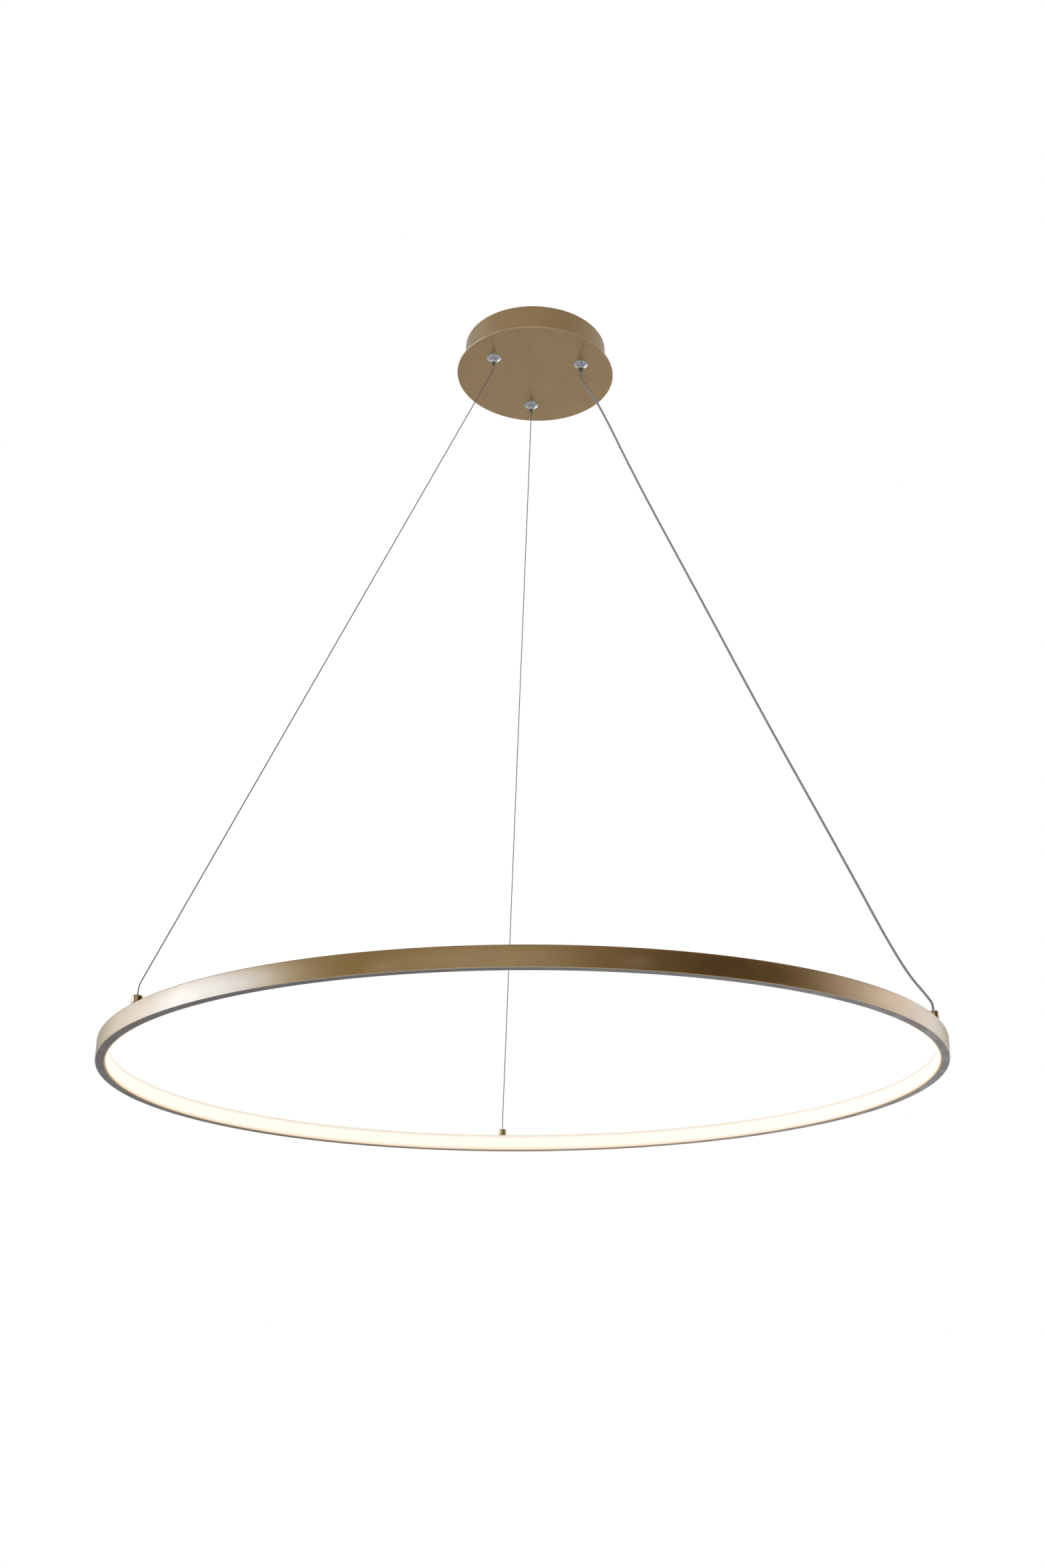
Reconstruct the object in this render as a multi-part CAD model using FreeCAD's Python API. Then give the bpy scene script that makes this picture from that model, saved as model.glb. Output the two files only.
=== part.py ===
import FreeCAD, Part
import math
import os

from FreeCAD import Vector

# A ring-shaped pendant lamp. The origin is the centre of the canopy on the ceiling, and the lamp hangs in -Z.
# All lengths are in millimetres and all angles in degrees.

# Whole lamp
ring_diameter = 900.0
profile_width = 10.0
profile_height = 20.0
hanging_drop = 955.0
canopy_height = 40.0
wire_diameter = 1.2
feed_diameter = 2.6
far_azimuth = 90.0
left_azimuth = 210.0
feed_azimuth = 330.0
overrun = 5.0
thread_clearance = 0.05
hole_clearance = 0.2

# Canopy shell
plate_overhang = 10.0
plate_thickness = 2.0
plate_edge_rounding = 0.5
drum_diameter = 180.0
drum_wall = 1.2
drum_flange_width = 12.0
drum_edge_rounding = 0.5
stud_diameter = 3.0
stud_height = 6.0
stud_nut_flats = 5.5
stud_nut_height = 2.4
canopy_stud_inset = 7.0
canopy_stud_count = 4
canopy_stud_first_azimuth = 45.0

# Ceiling bracket
bracket_width = 30.0
bracket_thickness = 1.5
bracket_ear_height = 16.0
bracket_ear_gap = 0.4
slot_spacing = 70.0
slot_length = 20.0
slot_width = 4.5
side_screw_diameter = 4.0
side_screw_length = 7.0
side_screw_proud = 0.2
side_screw_depth = 9.0
side_screw_socket_flats = 2.0
side_screw_socket_depth = 2.0

# Cable grippers
gripper_wall_gap = 24.8
gripper_flange_diameter = 18.0
gripper_flange_rim = 0.7
gripper_flange_depth = 2.2
gripper_dome_diameter = 8.6
gripper_dome_drop = 4.0
gripper_neck_depth = 7.2
gripper_barrel_diameter = 10.0
gripper_barrel_top = 13.0
gripper_shoulder = 1.2
gripper_plug_height = 3.0
gripper_nut_flats = 14.0
gripper_nut_height = 5.0
gripper_washer_diameter = 16.5
gripper_washer_thickness = 0.8
tip_drop = 10.6
tip_wall = 1.4
tip_chamfer = 0.35
tip_fit = 0.08
tip_collar_width = 0.7
tip_collar_height = 1.4
tip_cage_top = 6.0
cavity_width = 0.9
bore_clearance = 0.3
wedge_height = 3.0
wedge_bottom = 2.6
wedge_fit = 0.03
wedge_clearance = 0.15
wedge_taper = 0.4
ball_diameter = 1.8
ball_height = 4.2
ball_gap = 0.03
ball_count = 3

# Driver that feeds the lamp, inside the canopy
driver_end_gap = 33.8
driver_far_gap = 14.75
driver_near_gap = 22.75
driver_height = 24.0
driver_wall = 1.5
driver_corner = 3.0
driver_centre_x = -8.0
driver_ear_length = 9.0
driver_ear_width = 14.0
driver_lid_lip = 2.0
driver_lid_fit = 0.1
driver_entry_height = 12.0
board_thickness = 1.6
board_height = 4.0
board_margin = 2.0
grommet_flange = 1.0
grommet_diameter = 5.0
part_clearance = 4.0
board_foot_share = 0.9
# Each part's place along and across the board from its middle, and its size, as shares of the board's own
transformer_shares = (0.05, 0.0, 0.22, 0.7)
capacitor_shares = ((-0.33, -0.22, 0.2), (-0.33, 0.22, 0.2), (0.34, 0.18, 0.17))
choke_shares = (-0.15, 0.0, 0.2)

# Terminal block and earth point
block_length = 30.0
block_width = 18.0
block_height = 14.0
block_pad_thickness = 1.0
block_drum_gap = 15.0
pole_pitch = 9.0
pole_count = 3
contact_diameter = 5.0
contact_bore = 2.6
contact_height = 5.0
contact_inset = 2.0
clamp_screw_diameter = 3.0
clamp_screw_length = 5.0
clamp_screw_offset = 5.0
screwdriver_slot_width = 0.6
screwdriver_slot_depth = 0.8
lead_diameter = 1.7
lead_pitch = 2.2
lead_first_run = 22.0
lead_last_run = 15.0
lead_turn_share = 0.6
earth_x = 15.0
earth_driver_gap = 15.0
earth_nut_flats = 7.0
earth_stud_diameter = 4.0
lug_ring_diameter = 9.0
lug_thickness = 0.8
lug_barrel_length = 4.0
lug_barrel_wall = 0.5
lug_reach = 9.0

# Ring profile, light strip and diffuser
outer_wall = 1.3
top_wall = 1.5
bottom_wall = 1.3
profile_edge_rounding = 0.5
diffuser_thickness = 1.4
diffuser_edge_gap = 0.25
diffuser_fit = 0.05
diffuser_leg_length = 0.9
diffuser_leg_thickness = 1.1
diffuser_bead = 0.3
diffuser_bead_width = 0.4
diffuser_edge_rounding = 0.4
diffuser_joint_azimuth = 112.0
diffuser_joint_gap = 0.3
strip_height = 10.0
strip_thickness = 0.4
strip_gap = 6.0
chip_count = 96
chip_height = 2.8
chip_width = 3.5
chip_depth = 0.8

# Ferrules on the ring
ferrule_diameter = 10.0
ferrule_height = 8.0
ferrule_base_height = 0.8
ferrule_groove_height = 0.5
ferrule_groove_depth = 0.4
ferrule_rounding = 1.6
ferrule_roof = 1.2
ferrule_bore_clearance = 0.1
ferrule_screw_diameter = 4.0
ferrule_screw_reach = 3.6
ferrule_screw_head_diameter = 5.0
ferrule_screw_head_height = 1.6
ferrule_screw_socket = 2.0
ferrule_screw_socket_depth = 1.2
stop_diameter = 3.6
stop_height = 2.4
grub_diameter = 2.5
grub_height = 5.4
grub_sink = 0.2
grub_socket = 1.3
far_grub_azimuth = 345.0
left_grub_azimuth = 318.0
feed_grub_azimuth = 150.0

# Free stretches: the straight run down from the gripper, the run that eases the wire outwards, the run that
# eases it back, and the straight run into the ferrule
far_wire_runs = (4.4, 6.0, 6.2, 6.0)
left_wire_runs = (4.4, 6.0, 6.2, 6.0)
feed_cable_runs = (6.0, 9.0, 6.0, 5.0)
easing_share = 0.5
arc_reach_share = 0.45

# Inner stretches of wire and lead
tail_rise = 12.0
tail_reach = 14.0
tail_droop_share = 0.1
far_tail_azimuth = 170.0
left_tail_azimuth = 130.0
core_diameter = 1.1
core_pitch = 1.2
core_drop = 8.0
core_reach = 9.0
# Places on the feed cable's way to the driver, from the middle of its gripper's top
feed_tail_places = ((0.0, 0.0, 7.0), (2.6, 8.0, 15.0), (7.6, 21.0, 15.5), (12.0, 35.0, 12.0),
                    (12.0, 47.5, 6.0))
feed_tail_last_run = 11.0

# What each side of the lamp holds
azimuths = {"far": far_azimuth, "left": left_azimuth, "right": feed_azimuth}
grub_azimuths = {"far": far_grub_azimuth, "left": left_grub_azimuth, "right": feed_grub_azimuth}
tail_azimuths = {"far": far_tail_azimuth, "left": left_tail_azimuth}
free_runs = {"far": far_wire_runs, "left": left_wire_runs, "right": feed_cable_runs}
held_diameters = {"far": wire_diameter, "left": wire_diameter, "right": feed_diameter}

# Levels and radii that follow from the sizes
plate_under = -canopy_height
plate_top = plate_under + plate_thickness
drum_radius = drum_diameter / 2
plate_radius = drum_radius + plate_overhang
drum_inner_radius = drum_radius - drum_wall
flange_inner_radius = drum_radius - drum_flange_width
stud_circle_radius = drum_radius - canopy_stud_inset
gripper_circle_radius = drum_inner_radius - gripper_wall_gap
ring_radius = ring_diameter / 2
ring_inner_radius = ring_radius - profile_width
ring_middle_radius = ring_radius - profile_width / 2
ring_bottom = -hanging_drop
ring_top = ring_bottom + profile_height
wall_end_radius = ring_inner_radius + diffuser_thickness + diffuser_fit
channel_radius = ring_radius - outer_wall
ferrule_radius = ferrule_diameter / 2
ferrule_top = ring_top + ferrule_height
tip_level = plate_under - tip_drop
barrel_radius = gripper_barrel_diameter / 2
barrel_level = plate_under + gripper_barrel_top
driver_length = 2 * (drum_inner_radius - driver_end_gap)
driver_far_y = gripper_circle_radius - gripper_washer_diameter / 2 - driver_far_gap
near_gripper_y = gripper_circle_radius * math.sin(math.radians(left_azimuth))
driver_side_y = near_gripper_y + gripper_washer_diameter / 2 + driver_near_gap
driver_width = driver_far_y - driver_side_y
driver_centre_y = (driver_far_y + driver_side_y) / 2
driver_end_x = driver_centre_x + driver_length / 2
entry_level = plate_top + driver_entry_height
mains_entry_x = driver_centre_x - driver_length / 4
feed_entry_y = driver_centre_y + driver_width / 8
lid_bottom = plate_top + driver_height - driver_wall
board_bottom = plate_top + driver_wall + board_height
board_top = board_bottom + board_thickness
board_length = driver_length - 2 * driver_wall - board_margin
board_width = driver_width - 2 * driver_wall - board_margin
part_top = lid_bottom - part_clearance
block_centre_y = block_width / 2 + block_drum_gap - flange_inner_radius
block_bottom = plate_top + block_pad_thickness
contact_level = block_bottom + contact_height
lug_barrel_radius = lead_diameter / 2 + thread_clearance + lug_barrel_wall
lug_level = plate_top + lug_barrel_radius
earth_y = driver_side_y - earth_driver_gap
lug_start_y = earth_y - lug_reach
bracket_end = math.sqrt(drum_inner_radius ** 2 - (bracket_width / 2) ** 2) - bracket_ear_gap
strip_outer_radius = channel_radius - diffuser_fit
strip_inner_radius = strip_outer_radius - strip_thickness
strip_middle = (ring_top + ring_bottom) / 2
feed_end_level = ring_top - top_wall - ferrule_screw_head_height
axis = Vector(0, 0, 0)
earth_place = Vector(earth_x, earth_y, 0)


def around(azimuth, radius, level):
    """A point at an azimuth and a radius from the lamp's axis."""
    angle = math.radians(azimuth)
    return Vector(radius * math.cos(angle), radius * math.sin(angle), level)


def heading(azimuth):
    """The level direction at an azimuth, one unit long."""
    return around(azimuth, 1, 0)


def gripper_point(side, level):
    """A point on the axis of one gripper."""
    return around(azimuths[side], gripper_circle_radius, level)


def ferrule_point(side, level):
    """A point on the axis of one ferrule."""
    return around(azimuths[side], ring_middle_radius, level)


def cylinder(radius, bottom, top, place):
    """An upright cylinder between two levels, on the axis through a place."""
    return Part.makeCylinder(radius, top - bottom, Vector(place.x, place.y, bottom))


def sleeve(outer_radius, inner_radius, bottom, top, place):
    """An upright tube between two levels."""
    whole = cylinder(outer_radius, bottom, top, place)
    return whole.cut(cylinder(inner_radius, bottom - overrun, top + overrun, place))


def turned(outline, place, sweep=360.0, first_azimuth=0.0):
    """A turned solid: an outline of (radius, level) points swept round the upright axis through a place."""
    points = [Vector(radius, 0, level) for radius, level in outline]
    face = Part.Face(Part.makePolygon(points + points[:1]))
    solid = face.revolve(axis, Vector(0, 0, 1), sweep)
    solid.rotate(axis, Vector(0, 0, 1), first_azimuth)
    solid.translate(Vector(place.x, place.y, 0))
    return solid


def rounded_rims(solid, radius, rims):
    """Rounds the circular edges of a turned solid that have one of the (radius, level) pairs in rims."""
    def is_rim(edge):
        curve = edge.Curve
        if not isinstance(curve, Part.Circle):
            return False
        return any(max(abs(curve.Radius - rim), abs(curve.Center.z - level)) < thread_clearance
                   for rim, level in rims)
    return solid.makeFillet(radius, [edge for edge in solid.Edges if is_rim(edge)])


def block(length, width, bottom, top, centre_x, centre_y):
    """A box between two levels, centred on a place."""
    corner = Vector(centre_x - length / 2, centre_y - width / 2, bottom)
    return Part.makeBox(length, width, top - bottom, corner)


def rounded_block(length, width, bottom, top, centre_x, centre_y, corner_radius):
    """A box with rounded upright corners."""
    solid = block(length, width, bottom, top, centre_x, centre_y)
    upright = [edge for edge in solid.Edges if edge.BoundBox.ZLength > (top - bottom) / 2]
    return solid.makeFillet(corner_radius, upright)


def hexagon(flats, bottom, top, place):
    """An upright hexagonal prism, given across its flats."""
    corner_radius = flats / math.sqrt(3)
    corners = [Vector(place.x, place.y, bottom) + around(60 * index, corner_radius, 0) for index in range(6)]
    face = Part.Face(Part.makePolygon(corners + corners[:1]))
    return face.extrude(Vector(0, 0, top - bottom))


def hex_nut(flats, hole_radius, bottom, height, place):
    """A hexagonal nut, its two ends turned down at the corners."""
    top = bottom + height
    corner_radius = flats / math.sqrt(3)
    turned_down = corner_radius - flats / 2
    barrel = turned([(0, bottom), (flats / 2, bottom), (corner_radius, bottom + turned_down / 2),
                     (corner_radius, top - turned_down / 2), (flats / 2, top), (0, top)], place)
    nut = hexagon(flats, bottom, top, place).common(barrel)
    return nut.cut(cylinder(hole_radius, bottom - overrun, top + overrun, place))


def along(direction, radius, start, length):
    """A cylinder from a point along any direction."""
    return Part.makeCylinder(radius, length, start, direction)


def socket_screw(direction, radius, outer_end, length, flats, depth):
    """A set screw from its outer end inwards, with a hexagonal socket in that end."""
    body = along(direction, radius, outer_end, length)
    upright = hexagon(flats, 0, depth + overrun, axis)
    upright.Placement = FreeCAD.Placement(outer_end - direction * overrun,
                                          FreeCAD.Rotation(Vector(0, 0, 1), direction))
    return body.cut(upright)


def cord(name, points, diameter):
    """A round cord on straight runs joined by tangent arcs, each arc as large as its two runs allow."""
    edges = []
    start = points[0]
    radii = []
    for before, corner, after in zip(points, points[1:], points[2:]):
        inward = (corner - before).normalize()
        outward = (after - corner).normalize()
        half_turn = inward.getAngle(outward) / 2
        reach = arc_reach_share * min((corner - before).Length, (after - corner).Length)
        radius = reach / math.tan(half_turn)
        towards_centre = (outward - inward).normalize()
        middle = corner + towards_centre * (radius / math.cos(half_turn) - radius)
        edges.append(Part.LineSegment(start, corner - inward * reach).toShape())
        edges.append(Part.Arc(corner - inward * reach, middle, corner + outward * reach).toShape())
        start = corner + outward * reach
        radii.append(radius)
    edges.append(Part.LineSegment(start, points[-1]).toShape())
    spine = Part.Wire(edges)
    section = Part.Wire(Part.makeCircle(diameter / 2, points[0], points[1] - points[0]))
    solid = spine.makePipeShell([section], True, False)
    expected = math.pi * diameter ** 2 / 4 * spine.Length
    print(name, "length", round(spine.Length, 1), "radii", [round(radius, 1) for radius in radii],
          "volume share", round(solid.Volume / expected, 4))
    return solid


def export(name, solids):
    """Writes one sub-part, of one or more separate solids."""
    shape = solids[0] if len(solids) == 1 else Part.makeCompound(solids)
    shape.exportStep("parts/" + name + ".step")


# Canopy shell

def stud_places():
    """Where the plate's studs stand that hold the drum."""
    step = 360 / canopy_stud_count
    return [around(canopy_stud_first_azimuth + step * index, stud_circle_radius, 0)
            for index in range(canopy_stud_count)]


def driver_stud_places():
    """Where the plate's studs stand that hold the driver's ears."""
    half = driver_length / 2 + driver_ear_length / 2
    return [Vector(driver_centre_x + side * half, driver_centre_y, 0) for side in (-1, 1)]


def canopy_plate():
    plate = cylinder(plate_radius, plate_under, plate_top, axis)
    plate = rounded_rims(plate, plate_edge_rounding, [(plate_radius, plate_under), (plate_radius, plate_top)])
    for side in azimuths:
        hole = cylinder(barrel_radius + hole_clearance, plate_under - overrun, plate_top + overrun,
                        gripper_point(side, 0))
        plate = plate.cut(hole)
    stud_foot = plate_under + plate_thickness / 2
    stud_top = plate_top + stud_height
    for place in stud_places() + driver_stud_places():
        plate = plate.fuse(cylinder(stud_diameter / 2, stud_foot, stud_top, place))
    return plate.fuse(cylinder(earth_stud_diameter / 2, stud_foot, stud_top, earth_place))


def canopy_drum():
    wall = sleeve(drum_radius, drum_inner_radius, plate_top, 0, axis)
    flange = sleeve(drum_radius - drum_wall / 2, flange_inner_radius, plate_top, plate_top + drum_wall, axis)
    drum = wall.fuse(flange).removeSplitter()
    drum = rounded_rims(drum, drum_edge_rounding, [(drum_radius, 0)])
    for place in stud_places():
        drum = drum.cut(cylinder(stud_diameter / 2 + hole_clearance, plate_top - overrun,
                                 plate_top + drum_wall + overrun, place))
    hole = along(Vector(1, 0, 0), side_screw_diameter / 2 + hole_clearance,
                 Vector(-drum_radius - overrun, 0, -side_screw_depth), drum_diameter + 2 * overrun)
    return drum.cut(hole)


def ceiling_bracket():
    strap = block(2 * bracket_end, bracket_width, -bracket_thickness, 0, 0, 0)
    for side in (-1, 1):
        ear = block(bracket_thickness, bracket_width, -bracket_ear_height, 0,
                    side * (bracket_end - bracket_thickness / 2), 0)
        strap = strap.fuse(ear)
    strap = strap.removeSplitter()
    for side in (-1, 1):
        centre = side * slot_spacing / 2
        straight = slot_length - slot_width
        slot = block(straight, slot_width, -bracket_thickness - overrun, overrun, centre, 0)
        for end in (-1, 1):
            slot = slot.fuse(cylinder(slot_width / 2, -bracket_thickness - overrun, overrun,
                                      Vector(centre + end * straight / 2, 0, 0)))
        strap = strap.cut(slot)
    tapped = along(Vector(1, 0, 0), side_screw_diameter / 2 + thread_clearance,
                   Vector(-bracket_end - overrun, 0, -side_screw_depth), 2 * (bracket_end + overrun))
    return strap.cut(tapped)


def side_screws():
    screws = []
    for side in (-1, 1):
        outer_end = Vector(side * (drum_radius + side_screw_proud), 0, -side_screw_depth)
        screws.append(socket_screw(Vector(-side, 0, 0), side_screw_diameter / 2, outer_end,
                                   side_screw_length, side_screw_socket_flats, side_screw_socket_depth))
    return screws


def stud_nuts(places, bottom):
    return [hex_nut(stud_nut_flats, stud_diameter / 2 + thread_clearance, bottom, stud_nut_height, place)
            for place in places]


export("canopy_plate", [canopy_plate()])
export("canopy_drum", [canopy_drum()])
export("ceiling_bracket", [ceiling_bracket()])
export("side_screws", side_screws())
export("canopy_nuts", stud_nuts(stud_places(), plate_top + drum_wall))


# Driver

def driver_block(length, width, bottom, top, corner_radius):
    """A rounded block about the driver's middle."""
    return rounded_block(length, width, bottom, top, driver_centre_x, driver_centre_y, corner_radius)


def driver_case():
    floor_top = plate_top + driver_wall
    hollow = driver_block(driver_length - 2 * driver_wall, driver_width - 2 * driver_wall,
                          floor_top, lid_bottom + overrun, driver_corner - driver_wall)
    ears = driver_block(driver_length + 2 * driver_ear_length, driver_ear_width,
                        plate_top, floor_top, driver_corner)
    case = driver_block(driver_length, driver_width, plate_top, lid_bottom, driver_corner)
    case = case.fuse(ears).removeSplitter().cut(hollow)
    for place in driver_stud_places():
        case = case.cut(cylinder(stud_diameter / 2 + hole_clearance, plate_top - overrun,
                                 floor_top + overrun, place))
    for start, direction in driver_entries():
        case = case.cut(along(direction, grommet_diameter / 2 + thread_clearance, start - direction * overrun,
                              driver_wall + 2 * overrun))
    return case


def driver_entries():
    """Where the mains leads and the feed cable go into the case: a point on its outside and the way in."""
    mains = Vector(mains_entry_x, driver_side_y, entry_level)
    feed = Vector(driver_end_x, feed_entry_y, entry_level)
    return [(mains, Vector(0, 1, 0)), (feed, Vector(-1, 0, 0))]


def driver_lid():
    lid = driver_block(driver_length, driver_width, lid_bottom, lid_bottom + driver_wall, driver_corner)
    inner_length = driver_length - 2 * (driver_wall + driver_lid_fit)
    inner_width = driver_width - 2 * (driver_wall + driver_lid_fit)
    lip_bottom = lid_bottom - driver_lid_lip
    lip = driver_block(inner_length, inner_width, lip_bottom, lid_bottom, driver_corner - driver_wall)
    lip = lip.cut(block(inner_length - 2 * driver_wall, inner_width - 2 * driver_wall,
                        lip_bottom - overrun, lid_bottom, driver_centre_x, driver_centre_y))
    return lid.fuse(lip)


def board_place(along_share, across_share):
    """A place on the board, from its middle, as shares of its length and its width."""
    return Vector(driver_centre_x + board_length * along_share,
                  driver_centre_y + board_width * across_share, 0)


def driver_board():
    board = block(board_length, board_width, board_bottom, board_top, driver_centre_x, driver_centre_y)
    for side_x in (-1, 1):
        for side_y in (-1, 1):
            place = board_place(side_x * board_foot_share / 2, side_y * board_foot_share / 2)
            board = board.fuse(cylinder(board_thickness, plate_top + driver_wall, board_bottom, place))
    return board


def driver_parts():
    along_share, across_share, length_share, width_share = transformer_shares
    middle = board_place(along_share, across_share)
    pieces = [rounded_block(board_length * length_share, board_width * width_share, board_top, part_top,
                            middle.x, middle.y, board_thickness)]
    for along_share, across_share, radius_share in capacitor_shares:
        can_radius = board_width * radius_share
        can = cylinder(can_radius, board_top, part_top, board_place(along_share, across_share))
        pieces.append(rounded_rims(can, board_thickness / 2, [(can_radius, part_top)]))
    along_share, across_share, radius_share = choke_shares
    choke_radius = board_width * radius_share
    pieces.append(sleeve(choke_radius, choke_radius / 2, board_top, (board_top + part_top) / 2,
                         board_place(along_share, across_share)))
    return pieces


def grommet(start, direction, holes):
    """A rubber bush in the case's wall, flanged on both sides, with one hole for each (offset, radius)."""
    outer_end = start - direction * grommet_flange
    whole = along(direction, grommet_diameter / 2, outer_end, driver_wall + 2 * grommet_flange)
    for face in (outer_end, start + direction * driver_wall):
        whole = whole.fuse(along(direction, grommet_diameter / 2 + grommet_flange, face, grommet_flange))
    for offset, radius in holes:
        whole = whole.cut(along(direction, radius, start + offset - direction * overrun,
                                driver_wall + 2 * overrun))
    return whole


def driver_grommets():
    (mains, mains_in), (feed, feed_in) = driver_entries()
    lead_hole = lead_diameter / 2 + thread_clearance
    mains_holes = [(Vector(side * lead_pitch / 2, 0, 0), lead_hole) for side in (-1, 1)]
    feed_holes = [(axis, feed_diameter / 2 + thread_clearance)]
    return [grommet(mains, mains_in, mains_holes), grommet(feed, feed_in, feed_holes)]


export("driver_case", [driver_case()])
export("driver_lid", [driver_lid()])
export("driver_board", [driver_board()])
export("driver_parts", driver_parts())
export("driver_grommets", driver_grommets())
export("driver_nuts", stud_nuts(driver_stud_places(), plate_top + driver_wall))


# Terminal block, earth point and inner leads

def pole_x(index):
    return (index - (pole_count - 1) / 2) * pole_pitch


def terminal_block():
    top = block_bottom + block_height
    body = rounded_block(block_length, block_width, block_bottom, top, 0, block_centre_y, contact_inset / 2)
    for index in range(pole_count):
        start = Vector(pole_x(index), block_centre_y - block_width / 2 - overrun, contact_level)
        body = body.cut(along(Vector(0, 1, 0), contact_bore / 2, start, block_width + 2 * overrun))
        chamber = Vector(pole_x(index), block_centre_y - block_width / 2 + contact_inset, contact_level)
        body = body.cut(along(Vector(0, 1, 0), contact_diameter / 2 + thread_clearance, chamber,
                              block_width - 2 * contact_inset))
        for side in (-1, 1):
            place = Vector(pole_x(index), block_centre_y + side * clamp_screw_offset, 0)
            body = body.cut(cylinder(clamp_screw_diameter / 2 + hole_clearance, contact_level,
                                     top + overrun, place))
    for index in range(pole_count - 1):
        waist = block(contact_inset / 2, block_width + overrun, block_bottom + block_height / 2,
                      top + overrun, (pole_x(index) + pole_x(index + 1)) / 2, block_centre_y)
        body = body.cut(waist)
    return body


def terminal_contacts():
    contacts = []
    inset = contact_inset + thread_clearance
    length = block_width - 2 * inset
    for index in range(pole_count):
        start = Vector(pole_x(index), block_centre_y - block_width / 2 + inset, contact_level)
        contact = along(Vector(0, 1, 0), contact_diameter / 2, start, length)
        contact = contact.cut(along(Vector(0, 1, 0), contact_bore / 2, start - Vector(0, overrun, 0),
                                    length + 2 * overrun))
        for side in (-1, 1):
            place = Vector(pole_x(index), block_centre_y + side * clamp_screw_offset, 0)
            contact = contact.cut(cylinder(clamp_screw_diameter / 2 + thread_clearance, contact_level,
                                           contact_level + contact_diameter, place))
        contacts.append(contact)
    return contacts


def terminal_screws():
    screws = []
    bottom = contact_level + lead_diameter / 2 + thread_clearance
    top = bottom + clamp_screw_length
    for index in range(pole_count):
        for side in (-1, 1):
            place = Vector(pole_x(index), block_centre_y + side * clamp_screw_offset, 0)
            slot = block(clamp_screw_diameter + overrun, screwdriver_slot_width,
                         top - screwdriver_slot_depth, top + overrun, place.x, place.y)
            screws.append(cylinder(clamp_screw_diameter / 2, bottom, top, place).cut(slot))
    return screws


def terminal_pad():
    return block(block_length, block_width, plate_top, block_bottom, 0, block_centre_y)


def earth_lug():
    ring = cylinder(lug_ring_diameter / 2, plate_top, plate_top + lug_thickness, earth_place)
    neck = block(2 * lug_barrel_radius, lug_reach, plate_top, plate_top + lug_thickness, earth_x,
                 earth_y - lug_reach / 2)
    start = Vector(earth_x, lug_start_y, lug_level)
    barrel = along(Vector(0, -1, 0), lug_barrel_radius, start, lug_barrel_length)
    bore = along(Vector(0, -1, 0), lead_diameter / 2 + thread_clearance, start, lug_barrel_length + overrun)
    hole = cylinder(earth_stud_diameter / 2 + hole_clearance, plate_top - overrun, plate_top + overrun,
                    earth_place)
    return ring.fuse(neck).cut(hole).fuse(barrel.cut(bore))


def lead_start(index):
    """Where a lead's end lies in the block, past the clamping screw."""
    return Vector(pole_x(index), block_centre_y + clamp_screw_offset - clamp_screw_diameter, contact_level)


def mains_lead(name, index, offset):
    """One lead from the block to the driver, through the driver's grommet."""
    start = lead_start(index)
    entry = Vector(mains_entry_x + offset, driver_side_y, entry_level)
    end = entry + Vector(0, driver_wall + grommet_flange, 0)
    rise = Vector(0, -lead_last_run, 0)
    return cord(name, [start, start + Vector(0, lead_first_run, 0), entry + rise, end], lead_diameter)


def earth_lead():
    start = lead_start(pole_count - 1)
    end = Vector(earth_x, lug_start_y - thread_clearance, lug_level)
    middle = Vector((start.x + end.x) / 2, (start.y + end.y) / 2, (start.z + end.z) / 2)
    first = Vector(start.x, start.y + (middle.y - start.y) * lead_turn_share, start.z)
    last = Vector(end.x, end.y + (middle.y - end.y) * lead_turn_share, end.z)
    return cord("earth_lead", [start, first, last, end], lead_diameter)


export("terminal_block", [terminal_block()])
export("terminal_contacts", terminal_contacts())
export("terminal_screws", terminal_screws())
export("terminal_pad", [terminal_pad()])
export("earth_lug", [earth_lug()])
export("earth_nut", [hex_nut(earth_nut_flats, earth_stud_diameter / 2 + thread_clearance,
                             plate_top + lug_thickness, stud_nut_height, earth_place)])
export("live_lead", [mains_lead("live_lead", 0, -lead_pitch / 2)])
export("neutral_lead", [mains_lead("neutral_lead", 1, lead_pitch / 2)])
export("earth_lead", [earth_lead()])


# Cable grippers

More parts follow.
